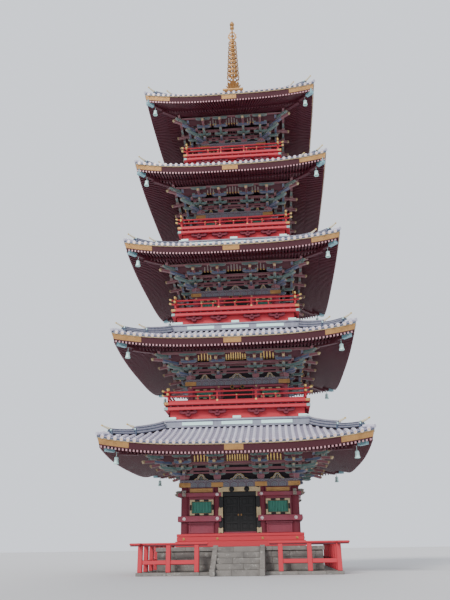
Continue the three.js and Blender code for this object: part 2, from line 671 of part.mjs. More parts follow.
// A hip ridge along the front-right diagonal: a long upper run and a lower run that stops short of the eave,
// each with a horn that stands out past its end.
const UPPER_RUN = { end: 1380, rise: 400, horn: 420, hornRise: 520 };
const LOWER_RUN = { end: 480, rise: 280, horn: 260, hornRise: 350 };
const HORN_THICKNESS = 70;
function hipRidge(storey) {
  const edge = EAVE_HALF[storey];
  const start = roofTopHalf(storey);
  const upper = edge - UPPER_RUN.end;
  const lower = edge - LOWER_RUN.end;
  const above = (half, rise) => [half * Math.SQRT2, roofHeight(storey, half) + lift(storey, half, 1) + rise];
  const horn = (run, end) => [
    above(end, run.rise - HORN_THICKNESS),
    above(end + run.horn - 10, run.hornRise - HORN_THICKNESS),
    above(end + run.horn, run.hornRise),
    above(end - 60, run.rise),
  ];
  const outline = [
    above(start, -90),
    above((start + upper) / 2, -90),
    above(lower, -60),
    ...horn(LOWER_RUN, lower),
    above(upper, LOWER_RUN.rise),
    ...horn(UPPER_RUN, upper),
    above((start + upper) / 2, UPPER_RUN.rise),
    above(start, UPPER_RUN.rise),
  ];
  return verticalPlate(outline, 210).rotateZ(Math.PI / 4);
}

// A balcony: the deck, which is also the floor, on its beam and board skirt, with four short arms a side.
function balcony(storey) {
  const half = deckHalf(storey);
  const skirt = half - 250;
  const frame = squareFrame([
    [0, DECK_BOTTOM],
    [half - 420, DECK_BOTTOM],
    [half - 420, RIDGE_TOP],
    [skirt, RIDGE_TOP],
    [skirt, BALCONY_BEAM_BOTTOM],
    [half + 10, BALCONY_BEAM_BOTTOM],
    [half + 10, BALCONY_BEAM_TOP],
    [half - 150, BALCONY_BEAM_TOP],
    [half - 150, DECK_BOTTOM],
    [half + 20, DECK_BOTTOM],
    [half + 20, DECK_TOP],
    [0, DECK_TOP],
  ]);
  const arms = onFourSides(
    columnsOf(storey).map((x) =>
      boatBeam(x, -half + 60, -skirt + 20, BALCONY_BEAM_BOTTOM - 160, BALCONY_BEAM_BOTTOM + 20, 400, 170),
    ),
  );
  return join([frame, ...arms]).translate(0, 0, -STOREY_HEIGHT);
}

// The balcony railing: a foot rail, two rails that cross at the corners and run on past them, and the posts.
function railing(storey) {
  const line = railLine(storey);
  const half = RAIL_WIDTH / 2;
  const reach = line + RAIL_OVERHANG;
  const foot = squareRing(line + half, line - half, DECK_TOP, DECK_TOP + 100);
  const rails = [MID_RAIL, TOP_RAIL].map((z) => box(-reach, reach, -line - half, -line + half, z, z + 80));
  const stand = (x, top) => box(x - half, x + half, -line - half, -line + half, DECK_TOP + 50, top);
  const inner = innerColumn(storey);
  const posts = [stand(-line, TOP_RAIL + 180), stand(-inner, TOP_RAIL + 20), stand(inner, TOP_RAIL + 20)];
  return join([foot, ...onFourSides([...rails, ...posts])]).translate(0, 0, -STOREY_HEIGHT);
}

// The finial, from the dew basin on the roof's top to the jewel, with heights from the top of the roof.
const RING_COUNT = 9;
const FIRST_RING = 2477;
const RING_PITCH = 374;
const FINIAL_HEIGHT = 7570;
const MAST_RADIUS = 75;

function dewBasin() {
  const body = box(-560, 560, -560, 560, 0, 820);
  const lip = box(-680, 680, -680, 680, 820, 1000);
  return piece("dew_basin", join([body, lip]), PAINT.gilt);
}

function lathed(profile, sides) {
  const points = profile.map(([r, z]) => new THREE.Vector2(r, z));
  return new THREE.LatheGeometry(points, sides).rotateX(Math.PI / 2);
}

function lotusBowl() {
  const bowl = [
    [0, 1000],
    [470, 1000],
    [440, 1200],
    [300, 1400],
    [120, 1480],
    [150, 1560],
    [520, 1760],
    [560, 1830],
    [120, 1830],
    [0, 1830],
  ];
  return piece("lotus_bowl", lathed(bowl, 12), PAINT.gilt);
}

function ringMast() {
  const profile = [[0, 1830], [MAST_RADIUS, 1830]];
  for (let k = 0; k < RING_COUNT; k++) {
    const z = FIRST_RING + k * RING_PITCH;
    const radius = 430 - 18 * k;
    profile.push([MAST_RADIUS, z - 50], [radius, z - 50], [radius, z + 50], [MAST_RADIUS, z + 50]);
  }
  const last = FIRST_RING + (RING_COUNT - 1) * RING_PITCH;
  profile.push([MAST_RADIUS, last + 260], [0, last + 260]);
  return piece("ring_mast", lathed(profile, 8), PAINT.gilt);
}

// The water-flame plates, the ball and the jewel at the very top.
function flameAndJewel() {
  const base = FIRST_RING + (RING_COUNT - 1) * RING_PITCH + 260;
  const flameOutline = [
    [0, base],
    [150, base + 60],
    [330, base + 330],
    [250, base + 560],
    [60, base + 900],
    [0, base + 900],
  ];
  const flame = verticalPlate(flameOutline, 40);
  const plates = onFourSides([flame]);
  const stemProfile = [
    [0, base],
    [50, base],
    [50, base + 1040],
    [150, base + 1130],
    [150, base + 1200],
    [45, base + 1290],
    [45, base + 1340],
    [170, base + 1480],
    [120, base + 1620],
    [0, FINIAL_HEIGHT],
  ];
  const stem = lathed(stemProfile, 12);
  return piece("flame_and_jewel", join([...plates, stem]), PAINT.gilt);
}

function makeStorey(storey) {
  const group = new THREE.Group();
  const number = storey + 1;
  if (storey > 0) {
    group.add(piece("balcony_" + number, balcony(storey), PAINT.redLacquer));
    group.add(piece("railing_" + number, railing(storey), PAINT.redLacquer));
    group.add(piece("walls_" + number, upperWalls(storey), PAINT.redLacquer));
    group.add(piece("shutters_" + number, upperShutters(storey), PAINT.green));
  } else {
    group.add(piece("head_beam_1", headBeam(storey), PAINT.painted));
  }
  group.add(piece("brackets_" + number, brackets(storey), PAINT.painted));
  group.add(piece("eaves_" + number, eaves(storey), PAINT.darkRed));
  group.add(piece("roof_" + number, roof(storey), PAINT.tile));
  group.position.z = FIRST_EAVE + storey * STOREY_HEIGHT;
  return group;
}

const pagoda = new THREE.Group();
pagoda.name = "pagoda";
pagoda.add(podium(), podiumRailing(), frontSteps(), groundSill(), groundFloor(), firstStoreyWalls());
for (let storey = 0; storey < STOREYS; storey++) {
  pagoda.add(makeStorey(storey));
}
const finial = new THREE.Group();
finial.add(dewBasin(), lotusBowl(), ringMast(), flameAndJewel());
finial.position.z = FIRST_EAVE + (STOREYS - 1) * STOREY_HEIGHT + FINIAL_SEAT;
pagoda.add(finial);

export default pagoda;
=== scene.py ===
"""Five-storey timber pagoda: podium, lacquered walls, bracketed eaves, copper tile roofs and gilt finial.

Metres, +Z up, front towards -Y. Most pieces are modelled flat for the front, laid on the curve of the eaves,
cut along the hips and repeated on the four sides.
"""

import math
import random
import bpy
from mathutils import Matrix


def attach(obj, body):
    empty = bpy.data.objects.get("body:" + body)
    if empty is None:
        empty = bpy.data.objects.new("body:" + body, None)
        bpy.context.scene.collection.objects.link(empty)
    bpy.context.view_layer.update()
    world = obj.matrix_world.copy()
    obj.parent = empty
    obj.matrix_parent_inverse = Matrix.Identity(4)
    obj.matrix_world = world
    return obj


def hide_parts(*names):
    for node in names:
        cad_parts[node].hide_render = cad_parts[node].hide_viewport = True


bl_info = {
    "name": "Five-storey pagoda",
    "version": (1, 0, 0),
    "blender": (4, 5, 0),
    "location": "View3D > Sidebar > Pagoda",
    "description": "Builds the visual model of a five-storey pagoda round its packed frame",
    "category": "Add Mesh",
}

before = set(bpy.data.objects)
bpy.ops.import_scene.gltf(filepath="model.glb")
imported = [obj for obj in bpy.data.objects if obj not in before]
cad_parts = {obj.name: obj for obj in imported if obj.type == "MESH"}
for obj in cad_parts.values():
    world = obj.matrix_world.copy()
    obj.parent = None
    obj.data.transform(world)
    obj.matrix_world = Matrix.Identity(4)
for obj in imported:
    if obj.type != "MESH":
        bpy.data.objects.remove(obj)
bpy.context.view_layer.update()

import bpy
from bpy.props import FloatProperty, FloatVectorProperty, IntProperty, PointerProperty
from mathutils import Matrix, Vector

# The tower's plan, storey by storey
STOREYS = 5
EAVE_HALF = (6.10, 5.80, 5.50, 5.20, 4.90)
PILLAR_LINE = (2.610, 2.386, 2.160, 1.936, 1.710)
INNER_PILLAR = (1.044, 0.954, 0.864, 0.774, 0.684)
CORNER_LIFT = (0.40, 0.40, 0.40, 0.38, 0.32)
DECK_HALF = (None, 3.556, 3.330, 3.106, 2.880)
RAIL_LINE = (None, 3.380, 3.154, 2.930, 2.704)

# Levels inside a storey, from the underside of its own tile edge
HEAD_BEAM = (-1.54, -1.32)
BEARING_TOP = -1.20
RAFTER_BREAK = 1.0
LOWER_TIP = -0.345
LOWER_SLOPE = 0.30
UPPER_TIP = -0.415
UPPER_SLOPE = 0.25
ROOF_EDGE = 0.13
BOX_RIDGE = (1.13, 1.60)
BALCONY_BEAM = (-2.95, -2.80)
DECK = (-2.70, -2.55)
MID_RAIL = -2.28
TOP_RAIL = -2.07
FINIAL_SEAT = 3.10
FINIAL_SEAT_HALF = 0.60

# Where the sleeves of the hip rafters end, in from the tile edge, and the lowest ring of the finial
SLEEVE_END = (0.33, 0.27, 0.21, 0.14, 0.12)
RING_FOOT = 2.477
RING_RISE = 0.374

# Levels of the podium and of the first storey, from the ground
PODIUM_HALF = 3.76
PODIUM_TOP = 1.15
KERB_HALF = 4.48
KERB_TOP = 0.14
FENCE_LINE = 4.32
FENCE_POSTS = (-4.32, -3.07, -1.82, -0.607, 0.607, 1.82, 3.07)
SILL_TOP = 1.72
WALL_TOP = 3.79
WAIST_TIE = (2.25, 2.50)
UPPER_TIE = (3.36, 3.54)
WINDOW = (1.236, 2.364, 2.536, 3.236)
DOOR_HALF = 0.77
DOOR_TOP = 3.36
LEAF_PLANE = -2.65

QUARTER = math.pi / 2
ROOT2 = math.sqrt(2)
TO_HIP = Matrix.Rotation(QUARTER / 2, 4, "Z")

# The camera of the photograph: place, lens in mm, turns about Z and X in degrees, and roll in radians
CAMERA_PLACE = (1.877, -33.036, 1.10)
CAMERA_LENS = 36.72
CAMERA_TURNS = (4.59, 112.05)
CAMERA_ROLL = -0.0141


def srgb(red, green, blue):
    """A colour written as on a screen, from 0 to 255, as the linear values that a shader takes."""
    linear = [(c / 255 / 12.92) if c < 11 else ((c / 255 + 0.055) / 1.055) ** 2.4 for c in (red, green, blue)]
    return (*linear, 1.0)


def length(name, default, description):
    return FloatProperty(name=name, description=description, default=default, unit="LENGTH", min=0.001)


def colour(name, rgb, description):
    return FloatVectorProperty(
        name=name, description=description, default=srgb(*rgb), size=4, subtype="COLOR", min=0, max=1
    )


class PagodaSizes(bpy.types.PropertyGroup):
    """Sizes of the small parts that the frame leaves out."""

    first_eave: length("First eave", 5.33, "Height of the first tile edge above the ground")
    storey_height: length("Storey height", 5.0, "From one tile edge to the next")
    rafter_pitch: length("Rafter pitch", 0.1638, "Spacing of the rafters, centre to centre")
    rafter_width: length("Rafter width", 0.078, "Width of a rafter")
    rafter_depth: length("Rafter depth", 0.09, "Depth of a rafter")
    tile_pitch: length("Tile pitch", 0.2925, "Spacing of the tile rolls, centre to centre")
    tile_course: length("Tile course", 0.36, "Length of a tile that shows")
    roll_radius: length("Roll radius", 0.078, "Radius of a tile roll")
    pillar_radius: length("Pillar radius", 0.19, "Radius of a first-storey pillar")
    bracket_step: length("Bracket step", 0.47, "How far each bracket reaches past the one below")
    bracket_rise: length("Bracket rise", 0.236, "Height from one bracket arm to the next")
    arm_depth: length("Arm depth", 0.13, "Height and width of a bracket arm")
    slat_pitch: length("Slat pitch", 0.072, "Spacing of the window slats")
    eased_edge: length("Eased edge", 0.008, "Width of the eased edges of the timbers")
    rail_radius: length("Rail radius", 0.045, "Radius of the top rail of a balcony")
    finial_rings: IntProperty(name="Finial rings", description="Rings on the mast", default=9, min=3, max=12)


class PagodaColours(bpy.types.PropertyGroup):
    """Colours of the finishes."""

    red: colour("Red lacquer", (206, 70, 94), "Balconies, railings and walls")
    # the crimson is darker than the lacquer's own red: it also paints in the shade under the eaves
    crimson: colour("Dark crimson lacquer", (84, 27, 39), "Rafters and eave boards")
    black: colour("Black lacquer", (44, 46, 60), "Doors and window frames")
    gilt: colour("Gilt", (202, 153, 94), "Fittings")
    green: colour("Slat green", (80, 150, 132), "Window slats")
    blue: colour("Deep blue paint", (98, 112, 144), "Bracket arms")
    leaf: colour("Green paint", (104, 138, 134), "Bracket arms and blocks")
    iron_red: colour("Iron red paint", (150, 94, 104), "Beams between the brackets")
    cream: colour("Cream rim", (156, 146, 142), "Painted rims of the brackets")
    # pale copper for the tiles: the grey of the weathered metal, lightened to paint in the bright sky on
    # their upper faces
    copper: colour("Weathered copper", (218, 215, 230), "Tiles")
    # darker than the tiles, partly the copper's own tone and partly painted shade on the upright sides of
    # ridges and box ridges
    ridge: colour("Dark copper", (148, 149, 164), "Ridges")
    patina: colour("Pale patina", (216, 254, 248), "Panels of the box ridges")
    verdigris: colour("Verdigris", (132, 178, 174), "Wind bells and rafter sleeves")
    stone: colour("Grey stone", (146, 140, 132), "Podium and steps")
    boards: colour("Bare boards", (116, 88, 62), "Floor of the first storey")


def sizes():
    return bpy.context.scene.pagoda_sizes


def eave_height(storey):
    return sizes().first_eave + storey * sizes().storey_height


# Curves of the eaves


def is_top(storey):
    return storey == STOREYS - 1


def roof_top(storey):
    """Half-width and height of the top of a roof."""
    return (FINIAL_SEAT_HALF, FINIAL_SEAT) if is_top(storey) else (DECK_HALF[storey + 1], BOX_RIDGE[0])


def lift(storey, x, out):
    """How far the eaves turn up at x, at a distance out from the tower's axis."""
    flat = PILLAR_LINE[storey] + 0.13 if is_top(storey) else DECK_HALF[storey + 1]
    share = min(max((out - flat) / (EAVE_HALF[storey] - 0.23 - flat), 0.0), 1.0)
    return CORNER_LIFT[storey] * min(abs(x) / max(out, 0.1), 1.2) ** 3 * share**2


def roof_height(storey, out):
    half, top = roof_top(storey)
    share = (EAVE_HALF[storey] - out) / (EAVE_HALF[storey] - half)
    return ROOF_EDGE + (top - ROOF_EDGE) * (0.76 * share + 0.24 * share**2)


def lower_soffit(storey, out):
    return LOWER_TIP + LOWER_SLOPE * (EAVE_HALF[storey] - RAFTER_BREAK - out)


def upper_soffit(storey, out):
    return UPPER_TIP + UPPER_SLOPE * (EAVE_HALF[storey] - 0.1 - out)


# Making shapes


def only(*pieces):
    """Selects these pieces and nothing else."""
    if bpy.context.mode != "OBJECT":
        bpy.ops.object.mode_set(mode="OBJECT")
    bpy.ops.object.select_all(action="DESELECT")
    for piece in pieces:
        piece.select_set(True)
    if pieces:
        bpy.context.view_layer.objects.active = pieces[0]


def editing(piece, action="SELECT"):
    only(piece)
    bpy.ops.object.mode_set(mode="EDIT")
    bpy.ops.mesh.select_mode(type="FACE")
    bpy.ops.mesh.select_all(action=action)


def done():
    bpy.ops.object.mode_set(mode="OBJECT")
    return bpy.context.object


def eased(piece, width):
    editing(piece)
    bpy.ops.mesh.select_mode(type="EDGE")
    bpy.ops.mesh.select_all(action="SELECT")
    bpy.ops.mesh.bevel(offset=width, offset_type="OFFSET", segments=1, affect="EDGES")
    return done()


def coated(piece, finish):
    piece.data.materials.append(bpy.data.materials[finish])
    return piece


def block(finish, x, y, z, edge=None):
    """A timber or stone from x[0] to x[1], y[0] to y[1] and z[0] to z[1], with eased edges."""
    only()
    low, high = Vector((min(x), min(y), min(z))), Vector((max(x), max(y), max(z)))
    bpy.ops.mesh.primitive_cube_add(size=1, location=(low + high) / 2, scale=high - low)
    bpy.ops.object.transform_apply(location=True, rotation=True, scale=True)
    piece = coated(bpy.context.object, finish)
    edge = sizes().eased_edge if edge is None else edge
    return eased(piece, edge) if edge else piece


def loop_of(corners, fill):
    """A loop with these corners, ready to be extruded or spun."""
    only()
    bpy.ops.mesh.primitive_circle_add(vertices=len(corners), fill_type=fill)
    piece = bpy.context.object
    for vertex, corner in zip(piece.data.vertices, corners):
        vertex.co = corner
    return piece


def both_sides(right):
    """An outline from the corners of its right half, from the top down, and their mirror image."""
    return [*right, *[(-x, z) for x, z in reversed(right)]]


def closed():
    """Turns all faces of the closed shape that is edited outwards."""
    bpy.ops.mesh.select_all(action="SELECT")
    bpy.ops.mesh.normals_make_consistent(inside=False)
    return done()


def prism(finish, outline, along, steps=1):
    """A solid whose end face has these corners, extruded along a vector in equal steps."""
    piece = loop_of(outline, "NGON")
    editing(piece)
    for _ in range(steps):
        bpy.ops.mesh.extrude_region_move(TRANSFORM_OT_translate={"value": Vector(along) / steps})
    return coated(closed(), finish)


def across(finish, outline, x0, x1, steps=1):
    """A moulding whose section is an outline of (distance out from the axis, height), run along x."""
    return prism(finish, [(x0, -out, z) for out, z in outline], (x1 - x0, 0, 0), steps)


def outward(finish, outline, thickness, x=0.0):
    """A plate that stands square to the wall: an outline of (distance out from the axis, height)."""
    return prism(finish, [(x - thickness / 2, -out, z) for out, z in outline], (thickness, 0, 0))


def upright(finish, outline, back, front):
    """A plate parallel to the front wall: an outline of (x, height), between two distances from the axis."""
    return prism(finish, [(x, -back, z) for x, z in outline], (0, back - front, 0))


def turned(finish, profile, sides=20):
    """A turned piece about the Z axis, from a profile of (radius, height), open where it touches the axis."""
    piece = loop_of([(radius, 0, height) for radius, height in profile], "NOTHING")
    editing(piece)
    if profile[0][0] == 0 and profile[-1][0] == 0:
        bpy.ops.mesh.select_mode(type="EDGE")
        done()
        for edge in piece.data.edges:
            edge.select = set(edge.vertices) == {0, len(profile) - 1}
        bpy.ops.object.mode_set(mode="EDIT")
        bpy.ops.mesh.delete(type="EDGE")
    bpy.ops.mesh.select_mode(type="VERT")
    bpy.ops.mesh.select_all(action="SELECT")
    bpy.ops.mesh.spin(steps=sides, angle=2 * math.pi, center=(0, 0, 0), axis=(0, 0, 1))
    bpy.ops.mesh.select_all(action="SELECT")
    bpy.ops.mesh.remove_doubles(threshold=0.0004)
    return smoothed(coated(closed(), finish))


def placed(piece, matrix):
    piece.data.transform(matrix)
    if matrix.determinant() < 0:
        piece.data.flip_normals()
    return piece


def copied(piece, shift=(0, 0, 0), turn=0.0, mirror=False):
    """A copy with its own mesh, mirrored in x, turned about the tower's axis and then moved."""
    twin = piece.copy()
    twin.data = piece.data.copy()
    bpy.context.collection.objects.link(twin)
    matrix = Matrix.Translation(shift) @ Matrix.Rotation(turn, 4, "Z")
    if mirror:
        matrix = matrix @ Matrix.Diagonal((-1, 1, 1, 1))
    return placed(twin, matrix)


def moved(piece, x=0.0, y=0.0, z=0.0):
    return placed(piece, Matrix.Translation((x, y, z)))


def facing_front(piece):
    """Turns a piece modelled about the Z axis so that its top faces the front."""
    return placed(piece, Matrix.Rotation(QUARTER, 4, "X"))


def joined(*pieces):
    only(*pieces)
    if len(pieces) > 1:
        bpy.ops.object.join()
    return bpy.context.object


def at_places(piece, places):
    """Copies of a piece at (x, y, z) places, joined, in place of the piece."""
    copies = [copied(piece, place) for place in places]
    bpy.data.objects.remove(piece)
    return joined(*copies)


def along_x(piece, places):
    return at_places(piece, [(x, 0, 0) for x in places])


def repeated(piece, count, offset):
    only(piece)
    bpy.ops.object.modifier_add(type="ARRAY")
    array = piece.modifiers[-1]
    array.count = count
    array.use_relative_offset = False
    array.use_constant_offset = True
    array.constant_offset_displace = offset
    bpy.ops.object.modifier_apply(modifier=array.name)
    return piece


def row_across(piece, pitch, half):
    """Repeats a piece modelled at x = 0 evenly to both sides, out to x = half at most."""
    count = int(half / pitch)
    moved(piece, x=-count * pitch)
    return repeated(piece, 2 * count + 1, (pitch, 0, 0))


def trimmed(piece, point, normal):
    """Cuts away what lies beyond a plane and closes the cut."""
    editing(piece)
    bpy.ops.mesh.bisect(plane_co=point, plane_no=normal, use_fill=True, clear_outer=True)
    return done()


def mitred(piece):
    """Cuts a piece of the front side along both hips."""
    return trimmed(trimmed(piece, (0, 0, 0), (1, 1, 0)), (0, 0, 0), (-1, 1, 0))


def draped(pieces, reach, near, far, surface):
    """Lays flat pieces of the front side on a surface that gives the rise at (x, distance out)."""
    only()
    middle = (near + far) / 2
    bpy.ops.object.add(type="LATTICE", location=(0, -middle, 0))
    net = bpy.context.object
    net.scale = (2 * reach, far - near, 8)
    net.data.points_u, net.data.points_v, net.data.points_w = 61, 33, 2
    for axis in "uvw":
        setattr(net.data, "interpolation_type_" + axis, "KEY_LINEAR")
    for point in net.data.points:
        x, y, z = point.co_deform
        rise = surface(x * 2 * reach, middle - y * (far - near))
        point.co_deform = (x, y, z + rise / 8)
    bpy.context.view_layer.update()
    for piece in pieces:
        only(piece)
        bpy.ops.object.modifier_add(type="LATTICE")
        piece.modifiers[-1].object = net
        bpy.ops.object.modifier_apply(modifier=piece.modifiers[-1].name)
    data = net.data
    bpy.data.objects.remove(net)
    bpy.data.lattices.remove(data)


def four_sides(piece):
    return joined(piece, *[copied(piece, turn=quarter * QUARTER) for quarter in (1, 2, 3)])


def ring_beam(finish, outer, inner, z, edge=None):
    """A square frame of four mitred timbers about the tower's axis."""
    return four_sides(mitred(block(finish, (-outer, outer), (-outer, -inner), z, edge)))


def ring_moulding(finish, section):
    """A square frame whose section is an outline of (distance out, height)."""
    reach = max(out for out, _ in section)
    return four_sides(mitred(across(finish, section, -reach, reach)))


def repainted(piece, finish, test):
    """Gives a second finish to the faces whose centre and normal pass a test."""
    if finish not in piece.data.materials:
        coated(piece, finish)
    index = piece.data.materials.find(finish)
    for face in piece.data.polygons:
        if test(face.center, face.normal):
            face.material_index = index
    return piece


def rimmed(piece, finish="cream_rim", width=0.013):
    """Leaves a painted rim round every large face of a piece."""
    coated(piece, finish)
    editing(piece, "DESELECT")
    done()
    for face in piece.data.polygons:
        face.select = face.area > 9 * width * width
    bpy.ops.object.mode_set(mode="EDIT")
    piece.active_material_index = len(piece.data.materials) - 1
    bpy.ops.object.material_slot_assign()
    bpy.ops.mesh.inset(thickness=width, depth=0, use_individual=True)
    piece.active_material_index = 0
    bpy.ops.object.material_slot_assign()
    return done()


def drawn(name, dimensions, points, cyclic=False):
    """A curve of straight stretches through points, each a place and a scale."""
    curve = bpy.data.curves.new(name, "CURVE")
    curve.dimensions = dimensions
    spline = curve.splines.new("POLY")
    spline.points.add(len(points) - 1)
    for point, (place, scale) in zip(spline.points, points):
        point.co = (*place, 1)
        point.radius = scale
    spline.use_cyclic_u = cyclic
    piece = bpy.data.objects.new(name, curve)
    bpy.context.collection.objects.link(piece)
    return piece


def swept(finish, path, section):
    """A section of (sideways, up) points carried along a path of places and scales."""
    outline = drawn("section", "2D", [((side, up, 0), 1) for side, up in section], cyclic=True)
    sweep = drawn("sweep", "3D", path)
    sweep.data.twist_mode = "Z_UP"
    sweep.data.bevel_mode = "OBJECT"
    sweep.data.bevel_object = outline
    sweep.data.use_fill_caps = True
    only(sweep)
    bpy.ops.object.convert(target="MESH")
    piece = bpy.context.object
    bpy.data.objects.remove(outline)
    piece.data.materials.clear()
    editing(piece)
    bpy.ops.mesh.remove_doubles(threshold=0.0002)
    return coated(closed(), finish)


def round_section(radius, sides=12):
    angles = [2 * math.pi * k / sides for k in range(sides)]
    return [(radius * math.cos(angle), radius * math.sin(angle)) for angle in angles]


def smoothed(piece, angle=35):
    only(piece)
    bpy.ops.object.shade_smooth_by_angle(angle=math.radians(angle))
    return piece


def finished(name, parts, nodes, body="tower"):
    """Joins the parts into a named piece that rides on a body and stands for CAD nodes."""
    piece = joined(*parts)
    piece.name = piece.data.name = name
    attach(piece, body)
    if nodes:
        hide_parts(*nodes)


def all_round(*parts):
    """Joins parts of the front side and repeats them on the four sides."""
    return four_sides(joined(*parts))


def finished_storey(name, storey, node, parts, rings=()):
    """Finishes a piece of one storey, from parts of its front side and parts that go all round."""
    whole = [all_round(*parts)] if parts else []
    whole = [moved(piece, z=eave_height(storey)) for piece in (*whole, *rings)]
    number = str(storey + 1)
    finished(name + number, whole, [node + number])


# Finishes


def node(tree, kind, inputs=None, **settings):
    made = tree.nodes.new("ShaderNode" + kind)
    for key, value in settings.items():
        setattr(made, key, value)
    for key, value in (inputs or {}).items():
        if isinstance(value, bpy.types.NodeSocket):
            tree.links.new(value, made.inputs[key])
        else:
            made.inputs[key].default_value = value
    return made


def group_node(tree, name, inputs=None):
    return node(tree, "Group", inputs, node_tree=bpy.data.node_groups[name])


class Effect:
    """A shader node group with named sockets for floats and colours. Its output Colour is a colour."""

    def __init__(self, name, outputs, inputs):
        self.tree = bpy.data.node_groups.new(name, "ShaderNodeTree")
        sockets = self.tree.interface
        for label, default in inputs.items():
            kind = "NodeSocketFloat" if isinstance(default, float) else "NodeSocketColor"
            sockets.new_socket(label, in_out="INPUT", socket_type=kind).default_value = default
        for label in outputs:
            kind = "NodeSocketColor" if label == "Colour" else "NodeSocketFloat"
            sockets.new_socket(label, in_out="OUTPUT", socket_type=kind)
        self.given = self.tree.nodes.new("NodeGroupInput").outputs
        self.result = self.tree.nodes.new("NodeGroupOutput").inputs
        self.place = self.node("TexCoord")["Object"]

    def node(self, kind, inputs=None, **settings):
        return node(self.tree, kind, inputs, **settings).outputs

    def maths(self, operation, first, second=0.0, clamp=False):
        return self.node("Math", {0: first, 1: second}, operation=operation, use_clamp=clamp)[0]

    def times(self, first, second, clamp=False):
        return self.maths("MULTIPLY", first, second, clamp)

    def plus(self, first, second, clamp=False):
        return self.maths("ADD", first, second, clamp)

    def scaled(self, vector, by):
        return self.node("VectorMath", {0: vector, 1: by}, operation="MULTIPLY")[0]

    def noise(self, scale, detail=3.0, roughness=0.55, vector=None):
        inputs = {"Vector": vector or self.place, "Scale": scale, "Detail": detail, "Roughness": roughness}
        return self.node("TexNoise", inputs)["Fac"]

    def ramp(self, value, low, high):
        return self.node(
            "MapRange", {"Value": value, "From Min": low, "From Max": high}, clamp=True
        )["Result"]

    def mixed(self, share, first, second):
        return self.node("Mix", {0: share, 6: first, 7: second}, data_type="RGBA", clamp_factor=True)[2]

    def mask(self, name, inputs=None):
        return group_node(self.tree, name, inputs).outputs["Mask"]

    def gives(self, **sockets):
        for label, socket in sockets.items():
            self.tree.links.new(socket, self.result[label])


def rain_streaks():
    """Rain streaks and soft blotches: a mask from 0 to 1 that runs down the surface."""
    e = Effect("Rain streaks", ["Mask"], {"Streaks Per Metre": 4.0, "Drawn Out": 0.12, "Amount": 0.5})
    stretch = e.node("CombineXYZ", {0: 1.0, 1: 1.0, 2: e.given["Drawn Out"]})[0]
    long = e.noise(e.given["Streaks Per Metre"], 4.0, 0.6, e.scaled(e.place, stretch))
    streak = e.times(e.ramp(long, 0.42, 0.72), e.ramp(e.noise(0.7, 2.0), 0.3, 0.75))
    e.gives(Mask=e.times(streak, e.given["Amount"], clamp=True))


def settled_dust():
    """Dust and bleaching on whatever faces up."""
    e = Effect("Settled dust", ["Mask"], {"Amount": 0.4})
    up = e.ramp(e.node("SeparateXYZ", {0: e.node("NewGeometry")["Normal"]})["Z"], 0.35, 0.95)
    patchy = e.ramp(e.noise(9.0, 5.0, 0.65), 0.25, 0.75)
    e.gives(Mask=e.times(e.times(up, patchy), e.given["Amount"], clamp=True))


def old_lacquer():
    """Old lacquer on timber: darker and faded patches, streaks, dust, gloss and slight waviness."""
    colours_in = {"Colour": (0.5, 0.05, 0.05, 1), "Faded Colour": (0.6, 0.2, 0.2, 1)}
    e = Effect("Old lacquer", SURFACE, {**colours_in, "Fading": 0.35, "Soot": 0.35, "Gloss Roughness": 0.38})
    colour_in = e.given["Colour"]
    fine = e.noise(26.0, 5.0, 0.6)
    faded = e.times(e.ramp(e.noise(1.3), 0.35, 0.7), e.given["Fading"])
    body = e.mixed(faded, colour_in, e.given["Faded Colour"])
    dark = e.mixed(0.72, colour_in, (0.012, 0.01, 0.012, 1))
    body = e.mixed(e.times(e.mask("Rain streaks", {"Amount": 1.0}), e.given["Soot"]), body, dark)
    body = e.mixed(e.times(e.ramp(fine, 0.62, 0.8), 0.16), body, dark)
    body = e.mixed(e.mask("Settled dust"), body, (0.36, 0.32, 0.29, 1))
    rough = e.plus(e.given["Gloss Roughness"], e.times(fine, 0.16))
    grain = e.noise(1.0, vector=e.scaled(e.place, (18.0, 18.0, 1.6)))
    height = e.plus(e.times(grain, 0.5), e.times(fine, 0.5))
    e.gives(Colour=body, Roughness=e.plus(rough, e.times(faded, 0.25), clamp=True), Height=height)


def engraved_gilt():
    """Engraved scroll ground on gilt metal, with dark tarnish in the hollows."""
    e = Effect("Engraved gilt", SURFACE, {"Colour": (0.7, 0.4, 0.1, 1), "Scroll Scale": 26.0, "Tarnish": 0.5})
    swirl = e.node("TexNoise", {"Vector": e.place, "Scale": 9.0, "Detail": 1.0})["Color"]
    bent = e.node("VectorMath", {0: e.place, 1: e.scaled(swirl, (0.05, 0.05, 0.05))}, operation="ADD")[0]
    cells = e.node("TexVoronoi", {"Vector": bent, "Scale": e.given["Scroll Scale"]}, feature="F1")["Distance"]
    relief = e.ramp(e.maths("PINGPONG", cells, 0.17), 0.02, 0.14)
    hollow = e.times(e.maths("SUBTRACT", 1.0, relief), 0.75)
    dirt = e.times(e.maths("MAXIMUM", hollow, e.ramp(e.noise(2.2, 5.0, 0.6), 0.4, 0.72)), e.given["Tarnish"])
    body = e.mixed(dirt, e.given["Colour"], (0.07, 0.042, 0.022, 1))
    e.gives(Colour=body, Roughness=e.plus(e.times(dirt, 0.35), 0.34), Height=relief)


